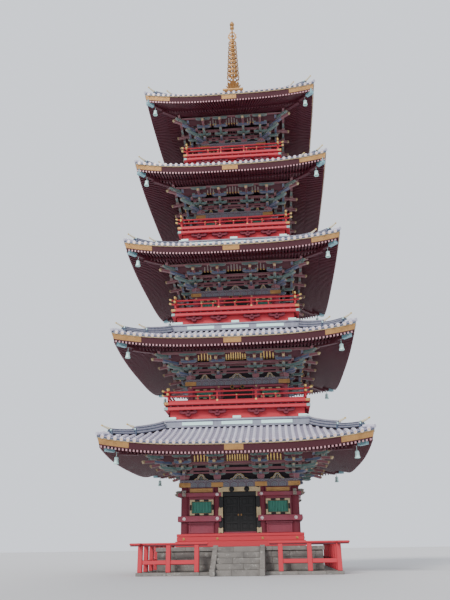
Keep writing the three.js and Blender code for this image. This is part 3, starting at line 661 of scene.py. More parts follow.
def copper_patina():
    """Sheet copper that has greyed, with blotches of its bloom colour, dark rain streaks and dark specks."""
    colours_in = {"Colour": (0.3, 0.3, 0.35, 1), "Bloom Colour": (0.3, 0.5, 0.48, 1)}
    e = Effect("Copper patina", SURFACE, {**colours_in, "Bloom": 0.25, "Grime": 0.4})
    cloud, speck = e.noise(1.8, 6.0, 0.62), e.noise(34.0, 5.0, 0.6)
    streaks = e.mask("Rain streaks", {"Streaks Per Metre": 7.0, "Drawn Out": 0.3, "Amount": 1.0})
    bloom = e.times(e.ramp(cloud, 0.45, 0.75), e.given["Bloom"])
    body = e.mixed(bloom, e.given["Colour"], e.given["Bloom Colour"])
    body = e.mixed(e.times(streaks, e.given["Grime"]), body, (0.055, 0.05, 0.06, 1))
    body = e.mixed(e.times(e.ramp(speck, 0.55, 0.8), 0.3), body, (0.07, 0.07, 0.075, 1))
    e.gives(Colour=body, Roughness=e.plus(e.times(cloud, 0.35), 0.22, clamp=True), Height=speck)


def graded_bands():
    """Graded bands of colour in rosettes along a beam, each band edged in white, as on old painted beams."""
    colours_in = {"First Colour": (0.03, 0.08, 0.25, 1), "Second Colour": (0.03, 0.2, 0.12, 1)}
    colours_in |= {"Third Colour": (0.3, 0.05, 0.05, 1), "Rim Colour": (0.6, 0.55, 0.45, 1)}
    e = Effect("Graded bands", ["Colour"], {**colours_in, "Rosettes Per Metre": 3.0})
    spacing, parts = e.given["Rosettes Per Metre"], e.node("SeparateXYZ", {0: e.place})
    u = e.maths("PINGPONG", e.times(e.plus(parts["X"], parts["Y"]), spacing), 0.5)
    v = e.maths("PINGPONG", e.times(parts["Z"], spacing), 0.5)
    spread = e.maths("SQRT", e.plus(e.times(u, u), e.times(v, v)))
    petals = e.maths("SINE", e.times(e.maths("ARCTAN2", v, u), 8.0))
    step = e.times(e.plus(spread, e.times(petals, 0.03)), 4.6)
    ring, graded = e.maths("MODULO", e.maths("FLOOR", step), 3.0), e.maths("FRACT", step)
    body = e.mixed(e.ramp(ring, 0.5, 1.0), e.given["First Colour"], e.given["Second Colour"])
    body = e.mixed(e.ramp(ring, 1.5, 2.0), body, e.given["Third Colour"])
    body = e.mixed(e.times(graded, 0.35), body, (0.55, 0.6, 0.6, 1))
    e.gives(Colour=e.mixed(e.ramp(graded, 0.86, 0.93), body, e.given["Rim Colour"]))


def cut_stone():
    """Cut stone: speckled grain, lichen blotches, dark weathering and a tooled face."""
    e = Effect("Cut stone", SURFACE, {"Colour": (0.3, 0.28, 0.26, 1), "Weathering": 0.5})
    grain, cloud = e.noise(75.0, 4.0, 0.7), e.noise(2.1, 6.0, 0.62)
    body = e.mixed(e.ramp(grain, 0.3, 0.75), (0.16, 0.15, 0.145, 1), e.given["Colour"])
    body = e.mixed(e.times(e.ramp(cloud, 0.42, 0.7), e.given["Weathering"]), body, (0.075, 0.07, 0.066, 1))
    lichen = e.ramp(e.noise(5.5, 6.0, 0.7), 0.58, 0.66)
    body = e.mixed(e.times(lichen, 0.5), body, (0.5, 0.5, 0.45, 1))
    rough = e.plus(e.times(grain, 0.2), 0.72, clamp=True)
    e.gives(Colour=body, Roughness=rough, Height=e.plus(e.times(grain, 0.4), cloud))


def bare_boards():
    """Planed boards with long grain, from warm to grey."""
    e = Effect("Bare boards", SURFACE, {"Colour": (0.2, 0.12, 0.07, 1), "Grey Colour": (0.3, 0.27, 0.24, 1)})
    grain = e.noise(1.0, 5.0, 0.6, e.scaled(e.place, (34.0, 1.4, 34.0)))
    wide = e.noise(1.0, vector=e.scaled(e.place, (5.0, 0.4, 5.0)))
    body = e.mixed(e.ramp(wide, 0.35, 0.7), e.given["Colour"], e.given["Grey Colour"])
    body = e.mixed(e.times(e.ramp(grain, 0.5, 0.75), 0.6), body, (0.05, 0.032, 0.022, 1))
    e.gives(Colour=body, Roughness=e.plus(e.times(grain, 0.3), 0.5), Height=grain)


SURFACE = ["Colour", "Roughness", "Height"]

# Name, colour and faded colour, and then fading, soot, roughness and coat
LACQUERS = (
    ("red_lacquer", "red", (212, 108, 130), 0.4, 0.2, 0.5, 0.1),
    ("wall_red", (140, 42, 62), (152, 82, 100), 0.45, 0.3, 0.42, 0.25),
    # a darker red that paints in shade: the band under each deck, the balcony arms and joist ends under their
    # beam, and the first-storey pillars
    ("shaded_red", (110, 28, 46), (120, 42, 58), 0.3, 0.3, 0.6, 0.05),
    # crimson lacquer of the rafters, boards, hips and cove, its darkness partly the lacquer's own and partly
    # painted shade
    ("shaded_crimson_lacquer", "crimson", (98, 52, 66), 0.35, 0.35, 0.45, 0.1),
    # eave beam lacquer, darkened to paint in the shade under the tile edge
    ("shaded_eave_lacquer", (66, 16, 28), (74, 28, 40), 0.3, 0.2, 0.65, 0.0),
    ("black_lacquer", "black", (46, 48, 60), 0.5, 0.1, 0.25, 0.5),
    # near-black paint that stands in for shade: linings inside the walls, the wall and ceilings behind the
    # brackets, the cores under the hip ridges and the ring under each box ridge
    ("painted_shade", (30, 22, 30), (46, 34, 44), 0.4, 0.5, 0.7, 0.0),
    ("slat_green", "green", (92, 166, 144), 0.4, 0.3, 0.5, 0.05),
    ("deep_blue", "blue", (116, 126, 148), 0.4, 0.3, 0.55, 0.05),
    ("leaf_green", "leaf", (124, 148, 140), 0.4, 0.3, 0.55, 0.05),
    ("iron_red", "iron_red", (152, 108, 108), 0.4, 0.3, 0.55, 0.05),
    ("cream_rim", "cream", (176, 160, 140), 0.5, 0.4, 0.6, 0.0),
)

# Name and colour, and then scroll scale, tarnish, bump, bump depth and metallic
GILTS = (
    ("gilt", "gilt", 24.0, 0.55, 0.5, 0.004, 0.55),
    ("bright_gilt", (250, 214, 130), 60.0, 0.2, 0.15, 0.002, 0.5),
    ("pale_gilt", (206, 184, 142), 40.0, 0.5, 0.2, 0.002, 0.3),
    ("rafter_tip", (188, 142, 150), 60.0, 0.25, 0.1, 0.001, 0.2),
    ("shaded_tip", (124, 84, 94), 60.0, 0.25, 0.1, 0.001, 0.2),
    ("horn_gilt", (246, 234, 198), 60.0, 0.25, 0.1, 0.001, 0.2),
)

# Name, colour and colour of the bloom, and then bloom, grime, bump and metallic
COPPERS = (
    # the rolls' pale copper paints in the bright sky on them, and the pans are kept darker as painted shade
    # in the hollows between the rolls
    ("tile_roll", "copper", (234, 230, 242), 0.5, 0.25, 0.15, 0.2),
    ("end_tile", (216, 198, 200), (234, 218, 214), 0.4, 0.3, 0.1, 0.2),
    ("tile_pan", (164, 159, 180), (188, 182, 202), 0.5, 0.4, 0.2, 0.2),
    ("ridge_copper", "ridge", (120, 150, 150), 0.25, 0.5, 0.2, 0.25),
    ("horn_copper", (84, 94, 116), (120, 150, 150), 0.2, 0.45, 0.2, 0.45),
    ("patina_panel", "patina", (226, 252, 248), 0.5, 0.1, 0.1, 0.1),
    ("verdigris", "verdigris", (168, 204, 200), 0.5, 0.3, 0.3, 0.3),
    ("sleeve_metal", (138, 186, 196), (184, 216, 222), 0.5, 0.2, 0.2, 0.2),
)

# Name, the colours of the three bands, and how many rosettes stand on a metre
PAINTED_BANDS = (
    ("banded_beam", (84, 76, 98), (84, 84, 96), (94, 72, 88), 2.6),
    ("banded_carving", (120, 96, 70), (66, 88, 88), (138, 112, 74), 5.0),
)


def shade(given):
    """A colour from its name in the sidebar, or from its values on a screen."""
    return getattr(bpy.context.scene.pagoda_colours, given) if isinstance(given, str) else srgb(*given)


def new_finish(name, group, inputs, bump=0.2, bump_depth=0.004, **shader):
    """A material whose colour, roughness and relief come from a shared node group."""
    material = bpy.data.materials.new(name)
    material.use_nodes = True
    tree = material.node_tree
    surface = tree.nodes["Principled BSDF"]
    effect = group_node(tree, group, inputs)
    tree.links.new(effect.outputs["Colour"], surface.inputs["Base Color"])
    tree.links.new(effect.outputs["Roughness"], surface.inputs["Roughness"])
    relief = node(
        tree, "Bump", {"Height": effect.outputs["Height"], "Strength": bump, "Distance": bump_depth}
    )
    tree.links.new(relief.outputs["Normal"], surface.inputs["Normal"])
    for key, value in shader.items():
        surface.inputs[key.replace("_", " ").title()].default_value = value
    return tree, effect


def banded(name, inputs):
    """Lacquered timber whose colour comes from the graded bands."""
    lacquer = {"Fading": 0.1, "Soot": 0.5, "Gloss Roughness": 0.5}
    tree, effect = new_finish(name, "Old lacquer", lacquer, coat_weight=0.05)
    bands = group_node(tree, "Graded bands", inputs)
    for label in ("Colour", "Faded Colour"):
        tree.links.new(bands.outputs["Colour"], effect.inputs[label])


def make_finishes():
    """Builds the shared node groups and every material."""
    effects = (
        rain_streaks, settled_dust, old_lacquer, engraved_gilt, copper_patina, graded_bands, cut_stone,
        bare_boards,
    )
    for build in effects:
        build()
    for name, body, faded, fading, soot, rough, coat in LACQUERS:
        inputs = {"Colour": shade(body), "Faded Colour": shade(faded)}
        inputs |= {"Fading": fading, "Soot": soot, "Gloss Roughness": rough}
        new_finish(name, "Old lacquer", inputs, bump=0.12, coat_weight=coat, coat_roughness=0.2)
    for name, body, scale, tarnish, bump, depth, metallic in GILTS:
        inputs = {"Colour": shade(body), "Scroll Scale": scale, "Tarnish": tarnish}
        new_finish(name, "Engraved gilt", inputs, bump, depth, metallic=metallic)
    for name, body, pale, bloom, grime, bump, metallic in COPPERS:
        inputs = {"Colour": shade(body), "Bloom Colour": shade(pale), "Bloom": bloom, "Grime": grime}
        new_finish(name, "Copper patina", inputs, bump, metallic=metallic)
    for name, *bands, rosettes in PAINTED_BANDS:
        inputs = dict(zip(("First Colour", "Second Colour", "Third Colour"), map(shade, bands)))
        banded(name, {**inputs, "Rim Colour": srgb(118, 108, 116), "Rosettes Per Metre": rosettes})
    new_finish("grey_stone", "Cut stone", {"Colour": shade("stone"), "Weathering": 0.55}, 0.5, 0.006)
    new_finish(
        "bare_boards", "Bare boards", {"Colour": shade("boards"), "Grey Colour": srgb(134, 122, 108)}, 0.3
    )


# Podium, steps and ground timbers


def stone_course(half, depth, z, stone_length, seed):
    """One course of facing stones along the front, up to the corner stone of the next side."""
    draws = random.Random(seed)
    joint = 0.004
    x = -half
    stones = []
    while x < half - depth - 0.01:
        rest = half - depth - x
        reach = stone_length * draws.uniform(0.8, 1.25)
        reach = rest if rest - reach < 0.55 * stone_length else reach
        face = draws.uniform(0.0, 0.006)
        place = (x + joint, x + reach - joint), (-half + face, -half + depth), (z[0] + joint, z[1] - joint)
        stones.append(block("grey_stone", *place, edge=0.012))
        x += reach
    return stones


class PAGODA_OT_podium(bpy.types.Operator):
    """Stone podium: kerb, plinth, three courses of facing stones, cap stones and the rubble behind them"""

    bl_idname = "pagoda.podium"
    bl_label = "Podium"

    def execute(self, context):
        cap_bottom = PODIUM_TOP - 0.18
        body = PODIUM_HALF - 0.06
        stones = stone_course(PODIUM_HALF + 0.04, 0.45, (0.0, 0.16), 1.3, 1)
        course = (cap_bottom - 0.16) / 3
        for row in range(3):
            z = 0.16 + row * course
            stones += stone_course(body, 0.34, (z, z + course), 0.86, 11 + row)
        stones += stone_course(PODIUM_HALF, 0.80, (cap_bottom, PODIUM_TOP), 1.25, 5)
        stones += stone_course(KERB_HALF, 0.74, (0.0, KERB_TOP), 1.5, 3)
        facing = four_sides(joined(*stones))
        inner = body - 0.03
        core = block("grey_stone", (-inner, inner), (-inner, inner), (0.01, PODIUM_TOP - 0.03), edge=0.01)
        finished("podium_stones", [facing, core], ["podium"])
        return {"FINISHED"}


class PAGODA_OT_podium_railing(bpy.types.Operator):
    """Railing on the kerb: posts, a middle rail and a top rail that runs on past them, with a way in"""

    bl_idname = "pagoda.podium_railing"
    bl_label = "Podium railing"

    def execute(self, context):
        red, line = "red_lacquer", FENCE_LINE
        sides = []
        for quarter in range(4):
            spans = [(-line, line)] if quarter else [(-line, -1.82), (1.82, line)]
            post = block(red, (-0.1, 0.1), (-line - 0.1, -line + 0.1), (KERB_TOP, 1.24), 0.014)
            parts = [along_x(post, [x for x in FENCE_POSTS if quarter or abs(x) > 1])]
            for x0, x1 in spans:
                parts += [
                    block(red, (x0 - 0.5, x1 + 0.5), (-line - 0.08, -line + 0.08), (1.25, 1.34), 0.03),
                    # a dark crimson strip under the top rail: painted shadow on the rail's underside
                    block(
                        "shaded_crimson_lacquer", (x0 - 0.46, x1 + 0.46), (-line - 0.05, -line + 0.05),
                        (1.205, 1.255),
                    ),
                    block(red, (x0, x1), (-line - 0.06, -line + 0.06), (0.46, 0.63), 0.016),
                ]
            sides.append(placed(joined(*parts), Matrix.Rotation(quarter * QUARTER, 4, "Z")))
        finished("podium_railing_timbers", sides, ["podium_railing"])
        return {"FINISHED"}


class PAGODA_OT_steps(bpy.types.Operator):
    """Five stone steps between two cheek stones"""

    bl_idname = "pagoda.steps"
    bl_label = "Steps"

    def execute(self, context):
        front = PODIUM_HALF + 0.042
        rise, depth = PODIUM_TOP / 5, 0.29
        parts = []
        for step in range(5):
            out = front + (5 - step) * depth
            z = (step * rise + 0.002, (step + 1) * rise)
            shift = 0.24 if step % 2 else -0.24
            for x in ((-0.93, shift - 0.002), (shift + 0.002, 0.93)):
                parts.append(block("grey_stone", x, (-out - 0.015, -out + depth + 0.05), z, edge=0.012))
        top = PODIUM_TOP + 0.06
        cheek = [(0, 0), (1.65, 0), (1.65, 0.26), (1.39, 0.33), (0.06, top), (0, top)]
        for x in (-1.04, 1.04):
            parts.append(eased(outward("grey_stone", [(front + out, z) for out, z in cheek], 0.22, x), 0.014))
        finished("steps_stones", parts, ["front_steps"])
        return {"FINISHED"}


def boss(finish, radius, depth=0.03):
    """A domed nail cover with a rim, modelled on the Z axis and turned to face the front."""
    profile = [
        (0, -0.01), (radius, -0.01), (radius, depth * 0.35), (radius * 0.82, depth * 0.55),
        (radius * 0.62, depth * 0.42), (radius * 0.42, depth * 0.9), (0, depth * 1.15),
    ]
    return facing_front(turned(finish, profile, sides=12))


def bosses(finish, radius, places, depth=0.03):
    return at_places(boss(finish, radius, depth), places)


class PAGODA_OT_sill(bpy.types.Operator):
    """Heavy two-step sill frame with its nail covers, and the boarded floor behind the doorway"""

    bl_idname = "pagoda.sill"
    bl_label = "Sill and floor"

    def execute(self, context):
        red = "red_lacquer"
        frames = [
            ring_beam(red, 3.0, 2.4, (PODIUM_TOP, 1.395), 0.014),
            ring_beam(red, 2.94, 2.4, (1.4, SILL_TOP - 0.13), 0.012),
            ring_beam(red, 2.945, 2.47, (SILL_TOP - 0.122, SILL_TOP), 0.012),
        ]
        finished("sill_timbers", frames, ["ground_sill"])
        places = [(x, -2.94, 1.5) for x in (-2.61, -1.044, 1.044, 2.61)]
        covers = four_sides(bosses("gilt", 0.062, places))
        finished("sill_nail_covers", [covers], [])
        plank = block("bare_boards", (-2.455, -2.255), (-2.45, 2.45), (1.61, SILL_TOP), 0.005)
        planks = repeated(plank, 24, (0.205, 0, 0))
        finished(
            "floor_planks", [trimmed(planks, (2.455, 0, 0), (1, 0, 0))], ["ground_floor"]
        )
        return {"FINISHED"}


# First storey


def first_storey_bays(line, inner):
    """Spans of the two side bays between the pillars."""
    radius = sizes().pillar_radius
    return [(-line + radius, -inner - radius), (inner + radius, line - radius)]


def pillar(finish, radius, z0, z1):
    """A round pillar whose head is drawn in under the beam."""
    profile = [
        (0, z0), (radius, z0), (radius, z1 - 0.16), (radius * 0.96, z1 - 0.07), (radius * 0.82, z1), (0, z1)
    ]
    return turned(finish, profile, sides=28)


def framed_panel(finish, x, out, z, rail=0.07, proud=0.03):
    """The raised frame round a field board, as used below the windows."""
    x0, x1 = x
    z0, z1 = z
    edges = [
        ((x0, x1), (z0, z0 + rail)), ((x0, x1), (z1 - rail, z1)),
        ((x0, x0 + rail), (z0 + rail, z1 - rail)), ((x1 - rail, x1), (z0 + rail, z1 - rail)),
    ]
    return [block(finish, span, (-out - proud, -out + 0.02), height) for span, height in edges]


def window_slats(x, out, z, back=0.05):
    """Upright diamond slats in front of a backing board."""
    pitch = sizes().slat_pitch
    half = pitch * 0.36
    count = int((x[1] - x[0]) / pitch)
    start = (x[0] + x[1]) / 2 - (count - 1) * pitch / 2
    section = [(-half, 0), (0, -half), (half, 0), (0, half)]
    slat = prism("slat_green", [(start + sx, -out + sy, z[0]) for sx, sy in section], (0, 0, z[1] - z[0]))
    slats = repeated(slat, count, (pitch, 0, 0))
    board = block("slat_green", x, (-out + back, -out + back + 0.02), z)
    return [slats, board]


def window_frame(x, out, z, width=0.08, proud=0.05):
    """A black moulded frame in two steps: returns its black timbers and its gilt fittings."""
    timbers = framed_panel("black_lacquer", x, out, z, width, proud)
    inner = (x[0] + width, x[1] - width), out, (z[0] + width, z[1] - width)
    timbers += framed_panel("pale_gilt", *inner, 0.014, proud - 0.02)
    timbers += framed_panel("black_lacquer", *inner, 0.024, proud - 0.03)
    near, far = out + proud - 0.004, out + proud + 0.005
    arm, stem = 0.22 * (x[1] - x[0]), 0.34 * (z[1] - z[0])
    plates = []
    for end, toward in ((x[0], 1), (x[1], -1)):
        for foot, up in ((z[0], 1), (z[1], -1)):
            corner = [
                (0, 0), (arm, 0), (arm - 0.025, width / 2), (arm, width), (width, width), (width, stem),
                (width / 2, stem - 0.025), (0, stem),
            ]
            plates.append(
                upright("pale_gilt", [(end + toward * a, foot + up * b) for a, b in corner], near, far)
            )
    middle = (x[0] + x[1]) / 2
    for low in (z[0], z[1] - width):
        span = (middle - 0.4 * arm, middle + 0.4 * arm)
        plates.append(block("pale_gilt", span, (-far, -near), (low, low + width), 0.003))
    return timbers, plates


class PAGODA_OT_ground_walls(bpy.types.Operator):
    """First-storey pillars, boards, panels, ties and jambs on the four sides, with their gilt fittings"""

    bl_idname = "pagoda.ground_walls"
    bl_label = "First-storey walls"

    def execute(self, context):
        line, inner, radius = PILLAR_LINE[0], INNER_PILLAR[0], sizes().pillar_radius
        face, red, black, pale = line + radius, "wall_red", "black_lacquer", "pale_gilt"
        board_y = (-line - 0.06, -line + 0.055)
        stands = [(x, -line, 0) for x in (-line, -inner, inner)]
        timbers = [
            # the pillars take the darker red that paints in the shade on them
            at_places(pillar("shaded_red", radius, SILL_TOP, WALL_TOP), stands),
            block(red, (-0.772, 0.772), board_y, (UPPER_TIE[1], WALL_TOP)),
            block(red, (-0.77, 0.77), (-line - 0.15, -line + 0.09), (SILL_TOP, SILL_TOP + 0.07), 0.01),
        ]
        fittings, bars = [], []
        for x0, x1 in first_storey_bays(line, inner):
            ends = (x0 - 0.04, x1 + 0.04)
            timbers.append(block(red, ends, board_y, (SILL_TOP, WINDOW[2] - 0.001)))
            timbers.append(block(red, ends, board_y, (WINDOW[3], WALL_TOP)))
            window = (WINDOW[0], WINDOW[1]) if x0 > 0 else (-WINDOW[1], -WINDOW[0])
            for side in ((ends[0], window[0]), (window[1], ends[1])):
                board = side, (-line - 0.058, -line + 0.053), (WINDOW[2], WINDOW[3])
                timbers.append(block(red, *board, 0.002))
            timbers += framed_panel(red, (x0, x1), line + 0.06, (SILL_TOP + 0.02, WAIST_TIE[0] - 0.1))
            rail = (WAIST_TIE[0] - 0.1, WAIST_TIE[0] - 0.02)
            timbers.append(block(red, ends, (-line - 0.15, -line - 0.05), rail))
            bar = (x0 + 0.04, x1 - 0.04), (-line - 0.11, -line - 0.05), (3.565, 3.755)
            bars.append(block("gilt", *bar, 0.01))
        for z in (WAIST_TIE, UPPER_TIE):
            for x in ((-face - 0.105, -DOOR_HALF - 0.09), (DOOR_HALF + 0.09, face + 0.105)):
                timbers.append(block(red, x, (-face - 0.11, -line - 0.02), z, 0.012))
        nose = [
            (2.7, 3.36), (2.93, 3.36), (3.05, 3.41), (3.12, 3.5), (3.03, 3.53), (3.07, 3.62), (2.96, 3.66),
            (2.7, 3.66),
        ]
        carved = rimmed(upright("banded_carving", nose, line - 0.08, line + 0.08), width=0.02)
        timbers += [carved, copied(carved, mirror=True)]
        surround = [block(black, (-0.96, 0.96), (-line - 0.21, -line + 0.08), (DOOR_TOP, 3.56), 0.01)]
        for side in (-1, 1):
            jamb = (side * DOOR_HALF, side * 0.96), (-line - 0.205, -line + 0.1), (SILL_TOP, DOOR_TOP + 0.01)
            surround.append(block(black, *jamb, 0.012))
            surround.append(moved(boss(black, 0.125, 0.06), side * 0.36, -line - 0.215, 3.68))
            for low, high, waisted in ((1.725, 1.98, False), (2.40, 2.88, True), (3.34, 3.78, False)):
                outer = [(1.0, low), (1.0, high)]
                if waisted:
                    middle = (low + high) / 2
                    outer = [(0.97, low), (1.0, middle - 0.1), (1.0, middle + 0.1), (0.97, high)]
                plate = [(0.79, low), (0.9, low + 0.04), *outer, (0.9, high - 0.04), (0.79, high)]
                fittings.append(upright(pale, [(side * x, z) for x, z in plate], line + 0.20, line + 0.222))
        covers = [(x, -face - 0.108, z) for x in (-line, -inner, inner, line) for z in (2.375, 3.45)]
        fittings.append(bosses("end_tile", 0.078, covers, 0.045))
        band = [(-0.80, 3.575), (0.80, 3.575), (0.80, 3.78), (-0.80, 3.78)]
        fittings.append(upright(pale, band, line + 0.15, line + 0.215))
        nodes = ["front_wall_left", "front_wall_right", "door_head", "door_threshold"]
        nodes += ["right_wall", "back_wall", "left_wall"]
        finished("ground_wall_timbers", [all_round(*timbers)], nodes)
        finished("ground_wall_fittings", [all_round(*fittings, *bars)], [])
        finished("door_surrounds", [all_round(*surround)], ["door_head"])
        return {"FINISHED"}


class PAGODA_OT_windows(bpy.types.Operator):
    """First-storey windows: green slats in black frames with gilt fittings"""

    bl_idname = "pagoda.windows"
    bl_label = "First-storey windows"

    def execute(self, context):
        line = PILLAR_LINE[0]
        x0, x1, z0, z1 = WINDOW
        slats, frames, plates = [], [], []
        for x in ((x0, x1), (-x1, -x0)):
            timbers, fittings = window_frame(x, line + 0.075, (z0, z1))
            frames += timbers
            plates += fittings
            slats += window_slats((x[0] + 0.09, x[1] - 0.09), line + 0.05, (z0 + 0.09, z1 - 0.09), back=0.045)
        nodes = ["front_window_left", "front_window_right"]
        finished("ground_window_slats", [all_round(*slats)], nodes)
        finished("ground_window_frames", [all_round(*frames)], nodes)
        finished("ground_window_fittings", [all_round(*plates)], nodes)
        return {"FINISHED"}


def door_leaf(side):
    """A leaf of a door: black frame and battens over panels, with black studs, a pivot, and a gilt ring pull
    on a boss.
    """
    black = "black_lacquer"
    front, back = LEAF_PLANE - 0.036, LEAF_PLANE + 0.036
    z0, z1 = SILL_TOP + 0.076, DOOR_TOP - 0.006
    far, near, rim = 0.752, 0.004, 0.09
    middle = (near + far) / 2
    parts = [
        block(black, (near + 0.05, far - 0.05), (front + 0.03, back - 0.01), (z0 + 0.05, z1 - 0.05)),
        block(black, (near, near + rim), (front, back), (z0, z1)),
        block(black, (far - rim, far), (front, back), (z0, z1)),
        block(
            black, (middle - 0.03, middle + 0.03), (front + 0.006, back - 0.006), (z0 + rim, z1 - rim), 0.006
        ),
    ]
    rows = [z0, z0 + 0.36, z0 + 0.74, z0 + 1.12, z1 - rim]
    for z in rows:
        parts.append(
            block(black, (near + rim, far - rim), (front + 0.002, back - 0.002), (z, z + rim), 0.006)
        )
        for x in (near + 0.045, far - 0.045):
            parts.append(moved(boss(black, 0.026, 0.012), x, front + 0.008, z + rim / 2))
    for low, high in zip(rows, rows[1:]):
        for x0, x1 in ((near + rim, middle - 0.03), (middle + 0.03, far - rim)):
            span, height = (x0 + 0.03, x1 - 0.03), (low + rim + 0.03, high - 0.03)
            parts.append(block(black, span, (front + 0.02, front + 0.035), height, 0.008))
    foot, head = SILL_TOP + 0.0105, DOOR_TOP + 0.06
    pivot = turned(black, [(0, foot), (0.022, foot), (0.022, head), (0, head)], 12)
    parts.append(moved(pivot, x=0.72, y=LEAF_PLANE))
    wire = [(0.026, -0.004), (0.034, 0.004), (0.026, 0.01), (0.02, 0.004), (0.026, -0.004)]
    ring = turned("gilt", wire, 14)
    plates = [moved(facing_front(ring), 0.07, front - 0.006, 2.52)]
    plates.append(moved(boss("gilt", 0.03, 0.016), 0.07, front + 0.006, 2.545))
    pair = [joined(*parts), joined(*plates)]
    if side < 0:
        for piece in pair:
            placed(piece, Matrix.Diagonal((-1, 1, 1, 1)))
    return pair


class PAGODA_OT_doors(bpy.types.Operator):
    """The two hinged leaves of the front door, and the shut doors of the other three sides"""

    bl_idname = "pagoda.doors"
    bl_label = "Doors"

    def execute(self, context):
        timbers, plates = [], []
        for side, name in ((-1, "left"), (1, "right")):
            leaf, fittings = door_leaf(side)
            timbers += [copied(leaf, turn=quarter * QUARTER) for quarter in (1, 2, 3)]
            plates += [copied(fittings, turn=quarter * QUARTER) for quarter in (1, 2, 3)]
            node_name, body = "door_leaf_" + name, name + "_leaf"
            finished(name + "_leaf_timbers", [leaf], [node_name], body)
            finished(name + "_leaf_fittings", [fittings], [node_name], body)
        line = PILLAR_LINE[0] - 0.06
        # a near-black lining inside the other three walls: painted shade of the tower's inside, behind the
        # front door
        lining = ring_beam("painted_shade", line, line - 0.05, (SILL_TOP, WALL_TOP), 0.0)
        open_in_front = trimmed(lining, (0, -line + 0.06, 0), (0, -1, 0))
        shutters = ["right_shutters", "back_shutters", "left_shutters"]
        finished("shut_door_timbers", [*timbers, open_in_front], shutters)
        finished("shut_door_fittings", plates, shutters)
        return {"FINISHED"}


# Upper storeys


def upper_openings(storey):
    """The door's span and height, the spans of the two windows and the windows' height."""
    line, inner = PILLAR_LINE[storey], INNER_PILLAR[storey]
    bottom, top = DECK[1] + 0.15, HEAD_BEAM[0] - 0.12
    near, far = inner + 0.22, line - 0.23
    door, windows = (-inner + 0.22, inner - 0.22), [(near, far), (-far, -near)]
    return door, (bottom, top), windows, (bottom + 0.2, top - 0.04)


class PAGODA_OT_upper_walls(bpy.types.Operator):
    """Walls of the upper storeys: pillars, boards, foot tie, shut doors, slatted windows and gilt fittings"""

    bl_idname = "pagoda.upper_walls"
    bl_label = "Upper walls"

    def execute(self, context):
        for storey in range(1, STOREYS):
            self.build(storey)
        return {"FINISHED"}

    def build(self, storey):
        line, inner = PILLAR_LINE[storey], INNER_PILLAR[storey]
        deck, head = DECK[1], HEAD_BEAM[0]
        red, black = "wall_red", "black_lacquer"
        (door_left, door_right), (door_foot, door_head), windows, window_z = upper_openings(storey)
        board_y = (-line - 0.06, -line + 0.055)
        stands = [(x, -line, 0) for x in (-line, -inner, inner)]
        timbers = [
            at_places(pillar(red, sizes().pillar_radius - 0.01, deck, head), stands),
            block(red, (-line, line), (-line - 0.23, -line - 0.02), (deck, deck + 0.13), 0.012),
            block(red, (-line, line), board_y, (deck, door_foot)),
            block(red, (-line, line), board_y, (door_head, head)),
            block(red, (-line, line), (-line - 0.20, -line - 0.02), (head - 0.13, head - 0.02), 0.01),
        ]
        near, far = windows[0]
        for side in (-1, 1):
            for x0, x1, z in (
                (line, door_right, (door_foot, window_z[0])), (door_right, near, (window_z[0], door_head)),
                (far, line, (window_z[0], door_head)), (inner, line, (window_z[1], door_head + 0.01)),
            ):
                timbers.append(block(red, (side * x0, side * x1), board_y, z, 0.004))
        slats, frames, plates = [], [], []
        for x in windows:
            bars, fittings = window_frame(x, line + 0.07, window_z, 0.06, 0.035)
            frames += bars
            plates += fittings
            opening = (x[0] + 0.07, x[1] - 0.07), line + 0.045, (window_z[0] + 0.07, window_z[1] - 0.07)
            slats += window_slats(*opening, 0.035)
        middle = (door_foot + door_head) / 2
        for x in ((door_left, -0.004), (0.004, door_right)):
            frames.append(block(black, x, (-line - 0.03, -line + 0.02), (door_foot, door_head)))
            frames += framed_panel(black, x, line + 0.03, (door_foot, door_head), 0.06, 0.02)
            frames.append(block(black, x, (-line - 0.048, -line - 0.02), (middle - 0.03, middle + 0.03)))
            for end, toward in ((x[0], 1), (x[1], -1)):
                for z in (door_foot + 0.07, middle - 0.04, door_head - 0.13):
                    plate = (end + toward * 0.006, end + toward * 0.056)
                    plates.append(block("gilt", plate, (-line - 0.056, -line - 0.046), (z, z + 0.08), 0.002))
        covers = [(x, -line - 0.19, head - 0.075) for x in (-line, -inner, inner)]
        plates.append(bosses("pale_gilt", 0.055, covers, 0.035))
        plates.append(bosses("gilt", 0.105, [(x, -line - 0.198, head - 0.10) for x in (-0.26, 0.26)], 0.05))
        frames.append(bosses(black, 0.07, [(x, -line - 0.218, head - 0.10) for x in (-0.26, 0.26)], 0.06))
        # a near-black lining inside the walls: painted shade of the storey's inside
        lining = ring_beam("painted_shade", line - 0.06, line - 0.11, (deck, head), 0.0)
        finished_storey("upper_wall_timbers_", storey, "walls_", timbers)
        finished_storey("upper_window_slats_", storey, "shutters_", slats)
        finished_storey("upper_shutter_frames_", storey, "shutters_", frames, [lining])
        finished_storey("upper_wall_fittings_", storey, "walls_", plates)


class PAGODA_OT_head_beams(bpy.types.Operator):
    """Painted head beam of each storey, with gilt sleeves at the pillars"""

    bl_idname = "pagoda.head_beams"
    bl_label = "Head beams"

    def execute(self, context):
        for storey in range(STOREYS):
            line, inner = PILLAR_LINE[storey], INNER_PILLAR[storey]
            beam = ring_beam("banded_beam", line + 0.225, line - 0.11, HEAD_BEAM, 0.012)
            face, height = (-line - 0.235, -line - 0.2), (HEAD_BEAM[0] + 0.004, HEAD_BEAM[1] - 0.004)
            places = (-line, line) if storey else (-line, -inner, inner, line)
            sleeves = [block("gilt", (x - 0.285, x + 0.285), face, height, 0.006) for x in places]
            node_name = "walls_" if storey else "head_beam_"
            finished_storey("head_beam_painted_", storey, node_name, [], [beam])
            finished_storey("head_beam_sleeves_", storey, node_name, sleeves)
        return {"FINISHED"}


# Brackets


